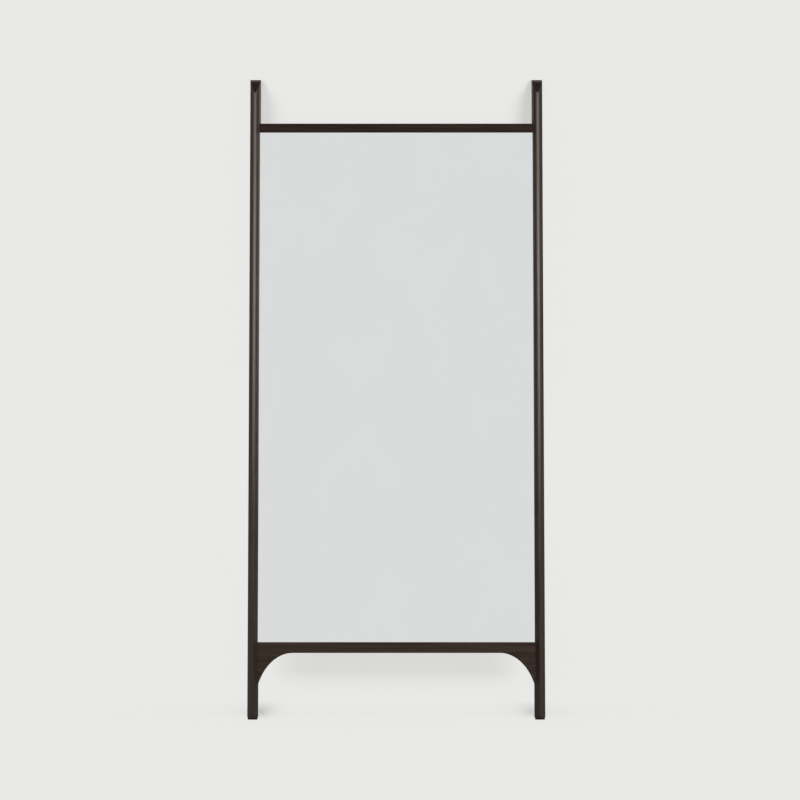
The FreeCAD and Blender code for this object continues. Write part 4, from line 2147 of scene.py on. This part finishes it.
    def light(self) -> None:
        """Set the air, a tall soft box on each front side, one behind, and the washes of the backdrop."""
        self.air()
        across, depth, height = self.box_place
        self.soft_box("right_soft_box", self.box_size, (across, depth, height), self.right_power)
        self.soft_box("left_soft_box", self.box_size, (-across, depth, height), self.left_power)
        self.soft_box("back_soft_box", self.back_box_size, self.back_box_place, self.back_power)
        floor, low, right, left, high = self.sheets
        for side, half in ((Side.RIGHT, right), (Side.LEFT, left)):
            self.wash(self.side_washes[side], [high], self.upright[side])
            self.wash(self.foot_washes[side], [floor, low], self.upright[side])
            self.wash(self.rail_washes[side], [half], self.clear)
        for piece in self.clear:
            piece.visible_diffuse = False

    def camera(self) -> None:
        """Set the camera straight in front, level, at the photograph's distance."""
        data = bpy.data.cameras.new("front_camera")
        data.sensor_width = self.sensor_width
        data.lens = self.focal_pixels / self.image_width * data.sensor_width
        data.shift_x = (self.image_width / 2 - self.middle_pixel) / self.image_width
        data.clip_end = self.camera_reach
        stand = bpy.data.objects.new(data.name, data)
        stand.location = (0.0, -self.camera_distance, self.camera_height)
        stand.rotation_euler = (QUARTER, 0.0, 0.0)
        bpy.context.scene.collection.objects.link(stand)
        bpy.context.scene.camera = stand

    def build(self) -> None:
        """Set up the whole studio."""
        self.backdrop()
        self.light()
        self.camera()
        bpy.context.scene.view_settings.view_transform = "Standard"


def main() -> None:
    """Build every sub-assembly in order, then the studio."""
    logging.basicConfig(level=logging.INFO, format="%(name)s %(message)s")
    cad_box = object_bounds()
    size = cad_box[1] - cad_box[0]
    sizes = FrameSizes(height=size.z, width=size.x)
    pale_board = StainedWood("stained_hardwood", lean=sizes.lean, tone=PALE_BOARD)
    along, ends = pale_board.material(Grain.ALONG_POST), pale_board.end_material()
    posts = {side: Post(sizes, side).build(along, ends) for side in Side}
    top_wood = StainedWood("deep_stained_hardwood", lean=sizes.lean).material(Grain.ALONG_RAIL)
    lower_wood = pale_board.material(Grain.ALONG_RAIL)
    rails = [Rail(sizes, "top_rail").build(top_wood), ArchedRail(sizes, "lower_rail").build(lower_wood)]
    tenons = Tenons(sizes).build(PlanedBeech().material())
    glazing = Glazing(sizes)
    glazing.glass(SilveredGlass())
    glazing.bedding(MouldedRubber("block_rubber").material(), ClosedFoam().material())
    back = BackClosure(sizes)
    sheets = [*glazing.made, back.panel(Fibreboard().material())]
    screws = back.screws(ZincPlate().material())
    pads = Pads(sizes)
    rubber = MouldedRubber("foot_rubber", skin=0.8 * MM).material()
    felt = PressedFelt().material()
    upright = {side: [posts[side], pads.foot(side, rubber), pads.felt(side, felt)] for side in Side}
    for piece in (*upright[Side.RIGHT], *upright[Side.LEFT], *rails, *tenons, *sheets, screws):
        LOG.info("%s: %d vertices, %d faces", piece.name, len(piece.data.vertices), len(piece.data.polygons))
    Studio(sizes, upright, sheets).build()
    boxes = {"cad": cad_box, "visual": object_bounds()}
    {name: [list(corner) for corner in corners] for name, corners in boxes.items()}


if __name__ == "__main__":
    main()
